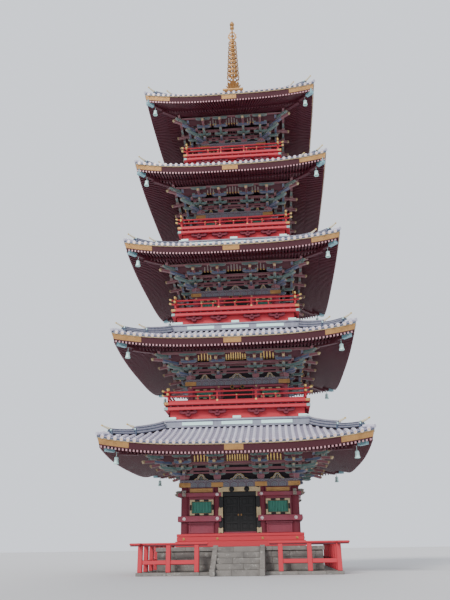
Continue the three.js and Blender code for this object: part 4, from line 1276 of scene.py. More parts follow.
def arm_level(step):
    """Bottom of the bracket arms of a step, counted from 1."""
    return BEARING_TOP + 0.22 + (step - 1) * sizes().bracket_rise


def bearing(finish, x, out, z0, z1, width, depth):
    """A bearing block: square above, drawn in below."""
    right = [(width / 2, z1), (width / 2, z0 + (z1 - z0) * 0.45), (width * 0.36, z0)]
    outline = [(x + shift, z) for shift, z in both_sides(right)]
    return rimmed(upright(finish, outline, out - depth / 2, out + depth / 2), width=0.012)


def boat(x, half, z0, depth, corners):
    """The outline of an arm cut up under both ends: corners as (distance in, share of the depth)."""
    right = [(half, z0 + depth)] + [(half - inset, z0 + share * depth) for inset, share in corners]
    return [(x + shift, z) for shift, z in both_sides(right)]


def boat_arm(finish, out, z0, half, depth=None):
    """An arm along the wall, over a pillar at the axis."""
    outline = boat(0, half, z0, depth or sizes().arm_depth, ((0, 0.5), (0.05, 0.2), (0.14, 0)))
    width = sizes().arm_depth
    return rimmed(upright(finish, outline, out - width / 2, out + width / 2))


def nose_arm(finish, end, z0, stretch=1.0, width=None):
    """An arm that stands out from the wall, with a rounded nose."""
    z1 = z0 + sizes().arm_depth
    nose = end * stretch
    outline = [
        (-0.05, z1), (-0.05, z0), (nose - 0.16, z0), (nose - 0.05, z0 + 0.03), (nose, z0 + 0.075), (nose, z1),
    ]
    return rimmed(outward(finish, outline, width or sizes().arm_depth))


def tail_rafter(stretch=1.0):
    """The sloping tail that carries the outermost block, with a gilt nose."""
    start, end = 0.15 * stretch, 1.76 * stretch
    step = 3 * sizes().bracket_step * stretch
    top = arm_level(3) + sizes().arm_depth - 0.005

    def level(out, up=0.0):
        return top - 0.17 / stretch * (out - step) + up

    outline = [
        (start, level(start)), (start, level(start, -0.12)), (end - 0.07, level(end, -0.12)),
        (end, level(end, -0.04)), (end, level(end)),
    ]
    cap = [
        (end - 0.10, level(end - 0.1, 0.006)), (end - 0.10, level(end - 0.1, -0.126)),
        (end - 0.065, level(end, -0.126)), (end + 0.006, level(end, -0.042)),
        (end + 0.006, level(end, 0.006)),
    ]
    return rimmed(outward("iron_red", outline, 0.115)), outward("pale_gilt", cap, 0.127)


def bracket_set(with_seat):
    """One three-stepped set about a pillar at the axis: returns its painted timbers and its gilt noses."""
    step, rise, depth = sizes().bracket_step, sizes().bracket_rise, sizes().arm_depth
    timbers = []
    if with_seat:
        timbers.append(bearing("iron_red", 0, 0, BEARING_TOP, arm_level(1) + 0.03, 0.36, 0.36))
    arms = [
        ("leaf_green", 1, 0, 0.40), ("deep_blue", 2, 0, 0.58), ("leaf_green", 2, 1, 0.40),
        ("deep_blue", 3, 2, 0.42),
    ]
    for finish, level, place, half in arms:
        out, z0 = place * step, arm_level(level)
        timbers.append(boat_arm(finish, out, z0, half))
        seat = "iron_red" if finish == "leaf_green" else "leaf_green"
        for x in (-half + 0.09, 0, half - 0.09):
            timbers.append(bearing(seat, x, out, z0 + depth, z0 + rise, 0.17, 0.17))
    tail, cap = tail_rafter()
    timbers += [
        bearing("iron_red", 0, 3 * step, arm_level(3) + depth, arm_level(4), 0.18, 0.18),
        boat_arm("leaf_green", 3 * step, arm_level(4), 0.44, depth=0.10),
        nose_arm("deep_blue", step + 0.13, arm_level(1)),
        nose_arm("leaf_green", 2 * step + 0.13, arm_level(2)),
        tail,
    ]
    plates = [cap, nose_plate(step + 0.13, 1), nose_plate(2 * step + 0.13, 2)]
    return joined(*timbers), joined(*plates)


def nose_plate(nose, level, half=0.045):
    """The pale metal plate on the nose of an arm."""
    z = arm_level(level) + 0.07
    return block("pale_gilt", (-half, half), (-nose - 0.009, -nose + 0.02), (z, z + 0.055), 0.003)


def diagonal_set():
    """The arms that stand out along a hip at a corner pillar, stretched to the diagonal."""
    step = sizes().bracket_step
    timbers = [bearing("iron_red", 0, 0, BEARING_TOP, arm_level(1) + 0.03, 0.38, 0.38)]
    tail, cap = tail_rafter(ROOT2)
    plates = [cap]
    arms = [("deep_blue", 0.60), ("leaf_green", 1.07), ("deep_blue", 1.32), ("leaf_green", 1.62)]
    for level, (finish, reach) in enumerate(arms, 1):
        timbers.append(nose_arm(finish, reach, arm_level(level), ROOT2, 0.15))
        plates.append(nose_plate(reach * ROOT2, level, 0.06))
    for place in (1, 2, 3):
        z0 = arm_level(place) + sizes().arm_depth
        timbers.append(bearing("leaf_green", 0, place * step * ROOT2, z0, z0 + 0.106, 0.2, 0.2))
    return placed(joined(tail, *timbers), TO_HIP), placed(joined(*plates), TO_HIP)


def crossed_beam(finish, line, out, z, beyond=0.36):
    """A beam along the front that crosses its neighbours at the corners and runs on past them."""
    reach = line + out + beyond
    half = sizes().arm_depth / 2
    outline = both_sides([(reach, z[1]), (reach, z[0] + 0.06), (reach - 0.12, z[0])])
    return rimmed(upright(finish, outline, line + out - half, line + out + half))


def cove_rib(finish, share):
    """A curved rib of the cove under the purlin, with a gilt foot. A share below 1 leaves out its head."""
    curve = [(1.02, -0.42), (1.045, -0.34), (1.08, -0.26), (1.12, -0.185), (1.18, -0.12), (1.26, -0.06)]
    kept = curve[:6 - round((1 - share) * 4)]
    outline = kept + [(out - 0.035, z + 0.045) for out, z in reversed(kept)]
    foot = block("bright_gilt", (-0.032, 0.032), (-1.055, -1.0), (-0.445, -0.385), 0.0)
    return joined(outward(finish, outline, 0.05), foot)


def frog_leg(width, height, line):
    """A frog-leg strut with a carved leaf heart between two bracket sets, standing on the bearing plate."""
    w, h, z = width / 2, height, BEARING_TOP
    outer = [
        (0.2, 1), (0.42, 0.74), (0.62, 0.34), (0.93, 0.16), (1, 0), (0.62, 0), (0.4, 0.2), (0.26, 0.6),
        (0, 0.78),
    ]
    outline = outer + [(-x, up) for x, up in reversed(outer[:-1])]
    strut = rimmed(upright("deep_blue", [(w * x, z + h * up) for x, up in outline], line + 0.06, line + 0.15),
                   "bright_gilt", 0.014)
    leaves = []
    for side in (-1, 0, 1):
        right = [(0, 1.0 if side else 1.12), (0.3, 0.8), (0.8, 0.4), (0.5, 0)]
        leaf = right + [(-x, up) for x, up in reversed(right[1:])]
        outline = [(side * w * 0.3 + x * w * 0.24, z + 0.02 + up * h * 0.6) for x, up in leaf]
        leaves.append(upright("banded_carving", outline, line + 0.06, line + 0.12))
    return joined(strut, *leaves)


class PAGODA_OT_brackets(bpy.types.Operator):
    """Three-stepped bracket sets, crossed beams, coves with gilt ribs, carved struts and purlins"""

    bl_idname = "pagoda.brackets"
    bl_label = "Brackets"

    def execute(self, context):
        sets = (bracket_set(True), bracket_set(False), diagonal_set())
        for storey in range(STOREYS):
            self.build(storey, *sets)
        for timbers, plates in sets:
            bpy.data.objects.remove(timbers)
            bpy.data.objects.remove(plates)
        return {"FINISHED"}

    def build(self, storey, inner_set, corner_set, hip_set):
        line, inner = PILLAR_LINE[storey], INNER_PILLAR[storey]
        step, depth = sizes().bracket_step, sizes().arm_depth
        places = (
            (inner_set, -inner), (inner_set, inner), (corner_set, -line), (corner_set, line), (hip_set, line)
        )
        timbers, plates = ([copied(pair[k], (x, -line, 0)) for pair, x in places] for k in (0, 1))
        purlin_top = lower_soffit(storey, line + 3 * step + 0.08) - 0.004
        timbers += [
            crossed_beam("iron_red", line, 0.0, (arm_level(3), arm_level(3) + depth), 0.3),
            crossed_beam("iron_red", line, step, (arm_level(3), arm_level(3) + depth)),
            crossed_beam("deep_blue", line, 2 * step, (arm_level(4), arm_level(4) + 0.11)),
            crossed_beam("iron_red", line, 3 * step, (arm_level(4) + 0.10, purlin_top), 0.42),
        ]
        bay, side_width = (line + inner) / 2, line - inner - 0.9
        for width, x in ((2 * inner - 0.95, 0), (side_width, bay), (side_width, -bay)):
            if width > 0.25:
                timbers.append(moved(frog_leg(min(width, 0.9), 0.27, line), x=x))
        finished_storey(
            "bracket_timbers_", storey, "brackets_", timbers, self.boards(storey, line)
        )
        ribs = self.ribs(storey, line)
        finished_storey("bracket_gilding_", storey, "brackets_", plates + ribs)

    def ribs(self, storey, line):
        """The ribs of the cove, in a middle group and two side groups that thin out to both ends."""
        finish, wide, narrow = (
            ("bright_gilt", (9, 0.118), (5, 0.152)) if storey < 2 else ("cream_rim", (5, 0.16), (3, 0.165))
        )
        ribs = []
        for middle, (count, pitch) in ((0, wide), (0.66 * line, narrow), (-0.66 * line, narrow)):
            for k in range(count):
                place = k - (count - 1) / 2
                rib = cove_rib(finish, 1.0 - 0.62 * abs(place) / (count / 2))
                ribs.append(moved(rib, x=middle + place * pitch, y=-line))
        return ribs

    def boards(self, storey, line):
        """The bearing plate, the wall boards, the flat ceilings between the steps and the curved cove; the
        wall board and the ceilings are painted near-black as shade.
        """
        # dark: near-black paint for the shade on the wall board behind the brackets and on the flat ceilings
        # between the steps
        dark, red, step = "painted_shade", "iron_red", sizes().bracket_step
        rings = [
            ring_beam("banded_beam", line + 0.25, line - 0.15, (HEAD_BEAM[1], BEARING_TOP), 0.012),
            ring_beam(dark, line + 0.05, line - 0.05, (BEARING_TOP, lower_soffit(storey, line + 0.07)), 0.0),
        ]
        for low, high in ((arm_level(1) + 0.09, 0.075), (arm_level(2), 0.13), (arm_level(4), 0.13)):
            rings.append(ring_beam(red, line + 0.068, line - 0.04, (low, low + high), 0.006))
        low = arm_level(3) + sizes().arm_depth
        high = arm_level(4) + 0.11
        rings.append(ring_beam(dark, line + step + 0.05, line + 0.04, (low - 0.02, low + 0.01), 0.0))
        rings.append(ring_beam(dark, line + 2 * step + 0.05, line + step - 0.05, (high - 0.03, high), 0.0))
        for out0, out1, z in ((0.07, step - 0.06, low - 0.04), (step + 0.06, 2 * step - 0.06, high - 0.05)):
            batten = block(red, (-0.02, 0.02), (-line - out1, -line - out0), (z, z + 0.03), 0.0)
            rings.append(four_sides(mitred(row_across(batten, 0.16, line + out1))))
        cove = [
            (0.99, -0.41), (1.015, -0.33), (1.05, -0.25), (1.09, -0.175), (1.15, -0.10), (1.24, -0.04),
            (1.35, -0.03),
        ]
        section = cove + [(out - 0.02, z + 0.02) for out, z in reversed(cove)]
        return [*rings, ring_moulding("shaded_crimson_lacquer", [(line + out, z) for out, z in section])]


# Eaves


def rafter(start, end, steps):
    """A flat rafter of the front side at x = 0, with its underside at z = 0."""
    half, depth = sizes().rafter_width / 2, sizes().rafter_depth
    outline = [(-half, -start, 0), (half, -start, 0), (half, -start, depth), (-half, -start, depth)]
    return prism("shaded_crimson_lacquer", outline, (0, start - end, 0), steps)


def plated_ends(piece, out, finish):
    """Paints the ends of rafters that stop at a distance out."""
    return repainted(piece, finish, lambda centre, normal: -centre.y > out - 0.004 and abs(normal.y) > 0.9)


def fan(piece, reach):
    """Rafters that spread from the tower's axis, evenly spaced along the eave."""
    pitch = sizes().rafter_pitch
    count = int(reach / pitch)
    spread = [copied(piece, turn=math.atan2(k * pitch, reach)) for k in range(-count, count + 1)]
    bpy.data.objects.remove(piece)
    return trimmed(joined(*spread), (0, -reach, 0), (0, -1, 0))


class PAGODA_OT_eaves(bpy.types.Operator):
    """Two tiers of rafters with their boards, eave beam, gilt plates and hip rafters, on every storey"""

    bl_idname = "pagoda.eaves"
    bl_label = "Eaves"

    def execute(self, context):
        for storey in range(STOREYS):
            self.build(storey)
        return {"FINISHED"}

    def build(self, storey):
        edge, root = EAVE_HALF[storey], PILLAR_LINE[storey] + 0.06
        tip, nose = edge - RAFTER_BREAK, edge - 0.10
        # the rafters and boards take the crimson that also paints in the shade under the eaves
        pitch, depth, crimson = sizes().rafter_pitch, sizes().rafter_depth, "shaded_crimson_lacquer"
        if is_top(storey):
            lower = fan(rafter(root, tip * 1.5, 6), tip)
            upper = fan(rafter(tip - 0.25, nose * 1.5, 6), nose)
        else:
            lower = row_across(rafter(root, tip, 4), pitch, tip)
            upper = row_across(rafter(tip - 0.25, nose, 4), pitch, nose)
        inner_tier = [
            plated_ends(mitred(lower), tip, "shaded_tip"),
            sheet_board(crimson, root, tip, depth, 0.022),
            sheet_board(crimson, tip - 0.13, tip - 0.004, depth + 0.02, 0.05),
        ]
        outer_tier = [
            plated_ends(mitred(upper), nose, "rafter_tip"),
            sheet_board(crimson, tip - 0.02, nose - 0.02, depth, 0.02),
        ]
        draped(inner_tier, edge, root - 0.05, edge + 0.05,
               lambda x, out: lower_soffit(storey, out) + lift(storey, x, out))
        draped(outer_tier, edge, tip - 0.4, edge + 0.05,
               lambda x, out: upper_soffit(storey, out) + lift(storey, x, out))
        section = [
            (edge - 0.20, -0.30), (nose, UPPER_TIP + depth + 0.002), (edge - 0.045, -0.022),
            (edge - 0.20, -0.022),
        ]
        # the eave beam takes the darkened lacquer that paints in its shade
        beam = mitred(across("shaded_eave_lacquer", section, -edge, edge, 40))
        strip = [(edge - 0.10, -0.036), (edge - 0.02, -0.036), (edge - 0.008, 0.006), (edge - 0.10, 0.006)]
        trim = mitred(across("pale_gilt", strip, -edge, edge, 40))
        face = [
            (nose + 0.014, -0.275), (edge - 0.038, -0.035), (edge - 0.046, -0.035), (nose + 0.004, -0.275)
        ]
        plates = [across("gilt", face, -0.42, 0.42, 2)]
        plates += [mitred(across("gilt", face, side * (edge - 1.45), side * edge, 10)) for side in (-1, 1)]
        draped(
            [beam, trim, *plates], edge, edge - 0.3, edge + 0.05, lambda x, out: lift(storey, x, edge - 0.1)
        )
        hips, metal = self.hips(storey)
        finished_storey(
            "eave_timbers_", storey, "eaves_", [*inner_tier, *outer_tier, beam], [hips]
        )
        finished_storey("eave_gilding_", storey, "eaves_", [trim, *plates])
        finished_storey("hip_sleeves_and_bells_", storey, "eaves_", [], [metal])

    def hips(self, storey):
        """Hip rafters, the upper ones with metal sleeves, and the wind bells under them."""
        edge = EAVE_HALF[storey]
        tip = edge - RAFTER_BREAK
        sleeve = edge - SLEEVE_END[storey]

        def hip_piece(finish, start, end, soffit, z, thickness, steps):
            outs = [start + (end - start) * k / steps for k in range(steps + 1)]
            line = [(out, soffit(storey, min(out, edge)) + lift(storey, out, out)) for out in outs]
            under = [(out * ROOT2, rise + z[0]) for out, rise in line]
            over = [(out * ROOT2, rise + z[1]) for out, rise in reversed(line)]
            return outward(finish, under + over, thickness)

        lower = hip_piece(
            "shaded_crimson_lacquer", PILLAR_LINE[storey] + 0.3, tip + 0.12, lower_soffit, (-0.09, 0.12), 0.19, 8
        )
        upper = hip_piece("shaded_crimson_lacquer", tip - 0.3, sleeve - 0.01, upper_soffit, (-0.14, 0.14), 0.17, 6)
        metal = hip_piece("sleeve_metal", sleeve - 0.32, sleeve, upper_soffit, (-0.17, 0.15), 0.20, 2)
        hang = sleeve - 0.42
        top = upper_soffit(storey, hang) + lift(storey, hang, hang) - 0.12
        bell = moved(wind_bell(top), y=-hang * ROOT2)
        return [four_sides(placed(joined(*pair), TO_HIP)) for pair in ((lower, upper), (metal, bell))]


def sheet_board(finish, start, end, z, thickness):
    """A board over the rafters of the front side, split finely enough to take the curve."""
    outline = [(start, z), (start, z + thickness), (end, z + thickness), (end, z)]
    return mitred(split(across(finish, outline, -end, end, 36), start, end, 4))


def split(board, start, end, strips):
    """Splits a board of the front side into strips of equal depth, from one distance out to another."""
    for k in range(1, strips):
        editing(board)
        bpy.ops.mesh.bisect(plane_co=(0, -start - (end - start) * k / strips, 0), plane_no=(0, 1, 0))
        done()
    return board


def wind_bell(top):
    """A wind bell with two bands, hanging from a height on a rod that runs down inside it."""
    bronze, z = "patina_panel", top - 0.22
    profile = [
        (0, 0), (0.045, -0.005), (0.078, -0.03), (0.088, -0.07), (0.092, -0.16), (0.104, -0.24),
        (0.126, -0.30), (0.126, -0.325), (0.112, -0.325), (0.088, -0.24), (0.076, -0.1), (0.0, -0.04),
    ]
    body = turned(bronze, [(radius, z + up) for radius, up in profile], 16)
    rod = turned(bronze, [(0, z - 0.26), (0.012, z - 0.26), (0.012, top + 0.02), (0, top + 0.02)], 8)
    bands = []
    for level in (0.06, 0.2):
        band = [(0.085, z - level), (0.1 + level * 0.03, z - level - 0.005), (0.085, z - level - 0.02)]
        bands.append(turned(bronze, band, 16))
    return joined(body, rod, *bands)


# Roofs


class PAGODA_OT_roofs(bpy.types.Operator):
    """Copper tile roofs: pans, rolls, round end tiles and drip edge, laid on the hollow curve of each roof"""

    bl_idname = "pagoda.roofs"
    bl_label = "Tile roofs"

    def execute(self, context):
        for storey in range(STOREYS):
            self.build(storey)
        return {"FINISHED"}

    def build(self, storey):
        edge = EAVE_HALF[storey]
        half, _ = roof_top(storey)
        pitch, course = sizes().tile_pitch, sizes().tile_course
        courses = math.ceil((edge - half) / course)

        def laid(tile, reach):
            """Courses of a tile over the front side, from the eave up to the top of the roof."""
            rows = row_across(repeated(tile, courses, (0, course, 0)), pitch, reach)
            return mitred(trimmed(rows, (0, -half + 0.1, 0), (0, 1, 0)))

        pans, rolls = laid(self.pan(edge), edge), laid(self.roll(edge), edge - 0.12)
        outline = [(half - 0.08, -0.15), (half - 0.08, -0.045), (edge - 0.03, -0.045), (edge - 0.03, -0.13)]
        deck = mitred(split(across("ridge_copper", outline, -edge, edge, 40), half, edge, 8))
        draped([pans, rolls, deck], edge + 0.1, half - 0.12, edge + 0.1,
               lambda x, out: roof_height(storey, min(out, edge)) + lift(storey, x, out))
        discs = mitred(row_across(moved(self.end_tile(), y=-edge - 0.004, z=0.062), pitch, edge - 0.1))
        drips = mitred(row_across(self.drip(edge), pitch, edge - 0.1))
        # the fascia under the tile ends is in dark copper: painted shade under the edge of the tiles
        fascia = [(edge - 0.08, 0.004), (edge - 0.012, 0.004), (edge - 0.012, 0.075), (edge - 0.08, 0.075)]
        front = mitred(across("horn_copper", fascia, -edge, edge, 40))
        draped(
            [discs, drips, front], edge + 0.1, edge - 0.3, edge + 0.1,
            lambda x, out: lift(storey, x, edge - 0.02),
        )
        finished_storey("roof_pans_", storey, "roof_", [pans, deck, front])
        finished_storey("roof_rolls_", storey, "roof_", [rolls, discs])
        finished_storey("roof_drip_edge_", storey, "roof_", [drips])

    def pan(self, edge):
        """One pan tile with its front edge on the eave: hollow across and a little higher at its front."""
        half = sizes().tile_pitch / 2
        outline = [
            (-half, 0), (-half * 0.45, -0.034), (half * 0.45, -0.034), (half, 0), (half, -0.055),
            (-half, -0.055),
        ]
        outline = [(x + half, z) for x, z in outline]
        tile = upright("tile_pan", outline, edge - sizes().tile_course - 0.03, edge)
        for vertex in tile.data.vertices:
            if vertex.co.y > -edge + 0.1:
                vertex.co.z -= 0.02
        return moved(tile, z=0.004)

    def roll(self, edge):
        """One roll tile, slightly larger at its front so that each laps over the next below."""
        radius = sizes().roll_radius
        points = [
            (radius * math.cos(math.pi * k / 5), radius * math.sin(math.pi * k / 5) - 0.022) for k in range(6)
        ]
        tile = upright("tile_roll", points, edge - sizes().tile_course - 0.03, edge)
        for vertex in tile.data.vertices:
            if vertex.co.y > -edge + 0.1:
                vertex.co.x *= 0.95
                vertex.co.z = (vertex.co.z + 0.022) * 0.93 - 0.028
        return smoothed(tile, 40)

    def end_tile(self):
        """The round end tile of a roll: a rim, a sunk ring and a small boss."""
        r = sizes().roll_radius
        profile = [
            (0, -0.02), (r, -0.02), (r, 0.014), (r * 0.74, 0.014), (r * 0.66, 0.004), (r * 0.36, 0.004),
            (0, 0.016),
        ]
        disc = facing_front(turned("end_tile", profile, sides=10))
        return repainted(
            disc, "bright_gilt", lambda centre, normal: normal.y < -0.6 and centre.length < r * 0.4
        )

    def drip(self, edge):
        """The hollow lip of a pan tile between two rolls, in dark copper: painted shade in the hollow."""
        right = [(0.10, 0.062), (0.10, 0.045), (0.05, 0.012)]
        outline = [(x + sizes().tile_pitch / 2, z) for x, z in both_sides(right)]
        return upright("horn_copper", outline, edge - 0.02, edge + 0.006)


def hip_curve(storey, out, rise=0.0):
    """The place on the hip ridge's foot at a distance out, on the diagonal turned to the front."""
    height = roof_height(storey, min(out, EAVE_HALF[storey])) + lift(storey, out, out)
    return Vector((0, -out * ROOT2, height + rise))


def ridge_section(height):
    """Section of a hip ridge: two courses of flat tiles and a rounded cap, with sunk joints between them."""
    side, level, half = [(0.10, 0.03), (0.10, 0.05)], 0.05, 0.13
    course, joint = 0.26 * (height - level), 0.035
    for _ in range(2):
        top = level + course
        side += [(half, level), (half, top), (half - joint, top), (half - joint, top + joint)]
        level, half = top + joint, half - 0.006
    crown = height - level
    side += [(half, level), (half, level + 0.25 * crown), (0.75 * half, level + 0.75 * crown)]
    side += [(0.4 * half, level + 0.96 * crown), (0, height)]
    return side + [(-x, z) for x, z in reversed(side[:-1])]


class PAGODA_OT_ridges(bpy.types.Operator):
    """Hip ridges in two runs with turned-up gilt horns, and the panelled box ridge round each roof's top"""

    bl_idname = "pagoda.ridges"
    bl_label = "Ridges"

    def execute(self, context):
        for storey in range(STOREYS):
            self.build(storey)
        return {"FINISHED"}

    def build(self, storey):
        edge = EAVE_HALF[storey]
        half, _ = roof_top(storey)
        copper, gilding = [], []
        runs = ((half - 0.05, edge - 1.38, 0.40, 0.30, 0.44), (edge - 1.43, edge - 0.48, 0.28, 0.33, 0.36))
        for start, end, height, reach, rise in runs:
            path = [(hip_curve(storey, start + (end - start) * k / 12), 1.0) for k in range(13)]
            run = swept("ridge_copper", path, ridge_section(height))
            repainted(
                run, "horn_copper", lambda centre, normal: abs(normal.x) > 0.99 and abs(centre.x) < 0.104
            )
            # faces that look up take the paler tile copper: painted light on the tops of the courses and the
            # cap, over sides kept darker as shade
            repainted(run, "tile_roll", lambda centre, normal: normal.z > 0.8)
            # a near-black core under each run: painted shade in the gaps between the rolls at the ridge's
            # foot
            core = swept("painted_shade", path, [(-0.07, -0.10), (0.07, -0.10), (0.07, 0.05), (-0.07, 0.05)])
            parts, gilt = self.horn(storey, end, height, reach, rise)
            copper += [run, core, *parts]
            gilding += gilt
        path = [(hip_curve(storey, edge - 0.42 + 0.11 * k, 0.03), 1 + 0.04 * k) for k in range(5)]
        copper.append(smoothed(swept("tile_roll", path, round_section(0.075)), 40))
        ridges, horns = (four_sides(placed(joined(*parts), TO_HIP)) for parts in (copper, gilding))
        rings = []
        if not is_top(storey):
            rings, panels = self.box_ridge(half)
            finished_storey("ridge_panels_", storey, "roof_", panels)
        finished_storey("ridges_", storey, "roof_", [], [ridges, *rings])
        finished_storey("ridge_gilding_", storey, "roof_", [], [horns])

    def horn(self, storey, out, height, reach, rise):
        """The end of a ridge run: a shouldered plate with a disc and scrolls, and a tapered gilt horn."""
        base = hip_curve(storey, out)
        y = -base.y
        side = [
            (0.15, -0.12), (0.19, 0.0), (0.18, 0.4 * height), (0.135, 0.72 * height), (0.06, 0.96 * height)
        ]
        side.append((0, height + 0.01))
        face = [(x, base.z + up) for x, up in side + [(-x, up) for x, up in reversed(side[:-1])]]
        plate = eased(upright("horn_copper", face, y - 0.02, y + 0.06), 0.014)
        radius = 0.10 + 0.09 * height
        profile = [
            (0, -0.01), (1, -0.01), (1, 0.022), (0.82, 0.028), (0.74, 0.012), (0.4, 0.012), (0.3, 0.03),
            (0, 0.034),
        ]
        disc = facing_front(turned("horn_copper", [(radius * r, up) for r, up in profile], 20))
        parts = [plate, moved(disc, y=-y - 0.062, z=base.z + 0.12)]
        scrolls = [(x, -y - 0.062, base.z + 0.45 * height + 0.05) for x in (-0.15, 0.15)]
        parts.append(bosses("patina_panel", 0.045, scrolls))
        start = Vector((0, 0.25 - y, base.z + 0.8 * height))
        end = Vector((0, -y - reach * ROOT2, base.z + rise))
        path = []
        for k in range(9):
            place = start.lerp(end, k / 8)
            place.z = start.z + (rise - 0.8 * height) * (k / 8) ** 1.8
            path.append((place, 1.0 - 0.55 * k / 8))
        bar = smoothed(swept("horn_gilt", path, round_section(0.072, 10)), 40)
        cap = [(end + Vector((0, 0.05, -0.012)), 1), (end + Vector((0, -0.012, 0.004)), 1.05)]
        return parts, [bar, smoothed(swept("bright_gilt", cap, round_section(0.037)), 40)]

    def box_ridge(self, half):
        """The box ridge of four mitred sides: its rings, and the pale panels of its front side."""
        ridge, (low, high), out = "ridge_copper", BOX_RIDGE, half - 0.06
        foot = [(-0.2, 0.06), (0.05, 0.06), (0.06, 0.09), (0.04, 0.13), (-0.2, 0.13)]
        cap = [(-0.3, -0.115), (0.03, -0.115), (0.06, -0.085), (0.045, -0.03), (0, 0), (-0.3, 0)]
        rings = [
            # the lowest ring is near-black: painted shade in the opening under the box ridge
            ring_beam("painted_shade", out - 0.03, out - 0.3, (low - 0.16, low + 0.08), 0.0),
            ring_moulding(ridge, [(out + a, low + up) for a, up in foot]),
            ring_beam(ridge, out, out - 0.25, (low + 0.125, high - 0.11), 0.0),
            ring_moulding(ridge, [(out + a, high + up) for a, up in cap]),
        ]
        share = half / DECK_HALF[1]
        panels = []
        for x in (-1.92, 0, 1.92):
            panels += self.panel(x * share, 0.75 * share, out, (low + 0.165, high - 0.14))
        for x in (0, -out + 0.32, out - 0.32):
            tile = (x - 0.2, x + 0.2), (-out - 0.02, -out + 0.24), (high - 0.01, high + 0.115)
            panels.append(block("patina_panel", *tile, 0.012))
        return rings, panels

    def panel(self, x, half, out, z):
        """A pale panel with bevelled edges between two thin raised strips."""
        parts = [block("patina_panel", (x - half, x + half), (-out - 0.014, -out + 0.01), z, 0.007)]
        for height in ((z[0] - 0.014, z[0] + 0.002), (z[1] - 0.002, z[1] + 0.014)):
            strip = (x - half - 0.012, x + half + 0.012), (-out - 0.022, -out + 0.01), height
            parts.append(block("ridge_copper", *strip, 0.003))
        return parts


# Balconies


class PAGODA_OT_balconies(bpy.types.Operator):
    """Balconies: boarded skirt with boat-shaped arms, beam, joist ends and the deck with its gilt corners"""

    bl_idname = "pagoda.balconies"
    bl_label = "Balconies"

    def execute(self, context):
        for storey in range(1, STOREYS):
            self.build(storey)
        return {"FINISHED"}

    def build(self, storey):
        half, line, inner = DECK_HALF[storey], PILLAR_LINE[storey], INNER_PILLAR[storey]
        # dark: the darker red that paints in shade, for the arms under the balcony beam, the joist ends and
        # the band behind them
        red, dark = "red_lacquer", "shaded_red"
        skirt, out = half - 0.25, half - 0.16
        foot = BOX_RIDGE[1] - sizes().storey_height
        low, high = BALCONY_BEAM
        rings = [
            ring_moulding(
                red, [(skirt - 0.12, foot), (skirt - 0.02, foot), (skirt, low), (skirt - 0.12, low)]
            ),
            ring_beam(red, skirt + 0.025, skirt - 0.1, (foot, foot + 0.07), 0.01),
            ring_beam(red, half + 0.005, half - 0.2, BALCONY_BEAM, 0.016),
            ring_beam(dark, half - 0.14, half - 0.24, (high - 0.01, DECK[0] + 0.01), 0.0),
            ring_beam(red, half + 0.018, line + 0.05, DECK, 0.014),
        ]
        parts, plates = [], []
        heart = both_sides([(0.13, -0.165), (0.13, -0.20), (0.08, -0.29)])
        seat = both_sides([(0.075, 0.003), (0.075, -0.04), (0.05, -0.075)])
        for x in (-line, -inner, inner, line):
            arm = boat(x, 0.43, low - 0.17, 0.10, ((0, 0.55), (0.0602, 0.22), (0.1462, 0)))
            parts.append(upright(dark, arm, out - 0.065, out + 0.065))
            parts.append(upright(dark, [(x + a, low + up) for a, up in heart], out - 0.1, out + 0.08))
            parts.append(
                block(dark, (x - 0.055, x + 0.055), (-out - 0.14, -skirt + 0.02), (low - 0.155, low - 0.07))
            )
            for shift in (-0.34, 0, 0.34):
                outline = [(x + shift + a, low + up) for a, up in seat]
                parts.append(upright(dark, outline, out - 0.08, out + 0.08))
        joist = block(
            dark, (-0.035, 0.035), (-half + 0.03, -half + 0.22), (high + 0.002, DECK[0] - 0.002), 0.006
        )
        parts.append(mitred(row_across(joist, 0.36, half - 0.1)))
        for finish, proud, back, (z0, z1) in (
            ("gilt", 0.024, 0.20, DECK), ("verdigris", 0.011, 0.17, BALCONY_BEAM)
        ):
            for side in (-1, 1):
                ends = (side * (half + proud), side * (half - back))
                plates.append(
                    block(finish, ends, (-half - proud, -half + 0.02), (z0 + 0.006, z1 - 0.006), 0.005)
                )
        floor = block(
            red, (-line - 0.1, line + 0.1), (-line - 0.1, line + 0.1), (DECK[0], DECK[1] - 0.005), 0.0
        )
        finished_storey("balcony_timbers_", storey, "balcony_", parts, rings)
        finished_storey("balcony_fittings_", storey, "balcony_", plates)
        finished_storey("storey_floor_", storey, "balcony_", [], [floor])


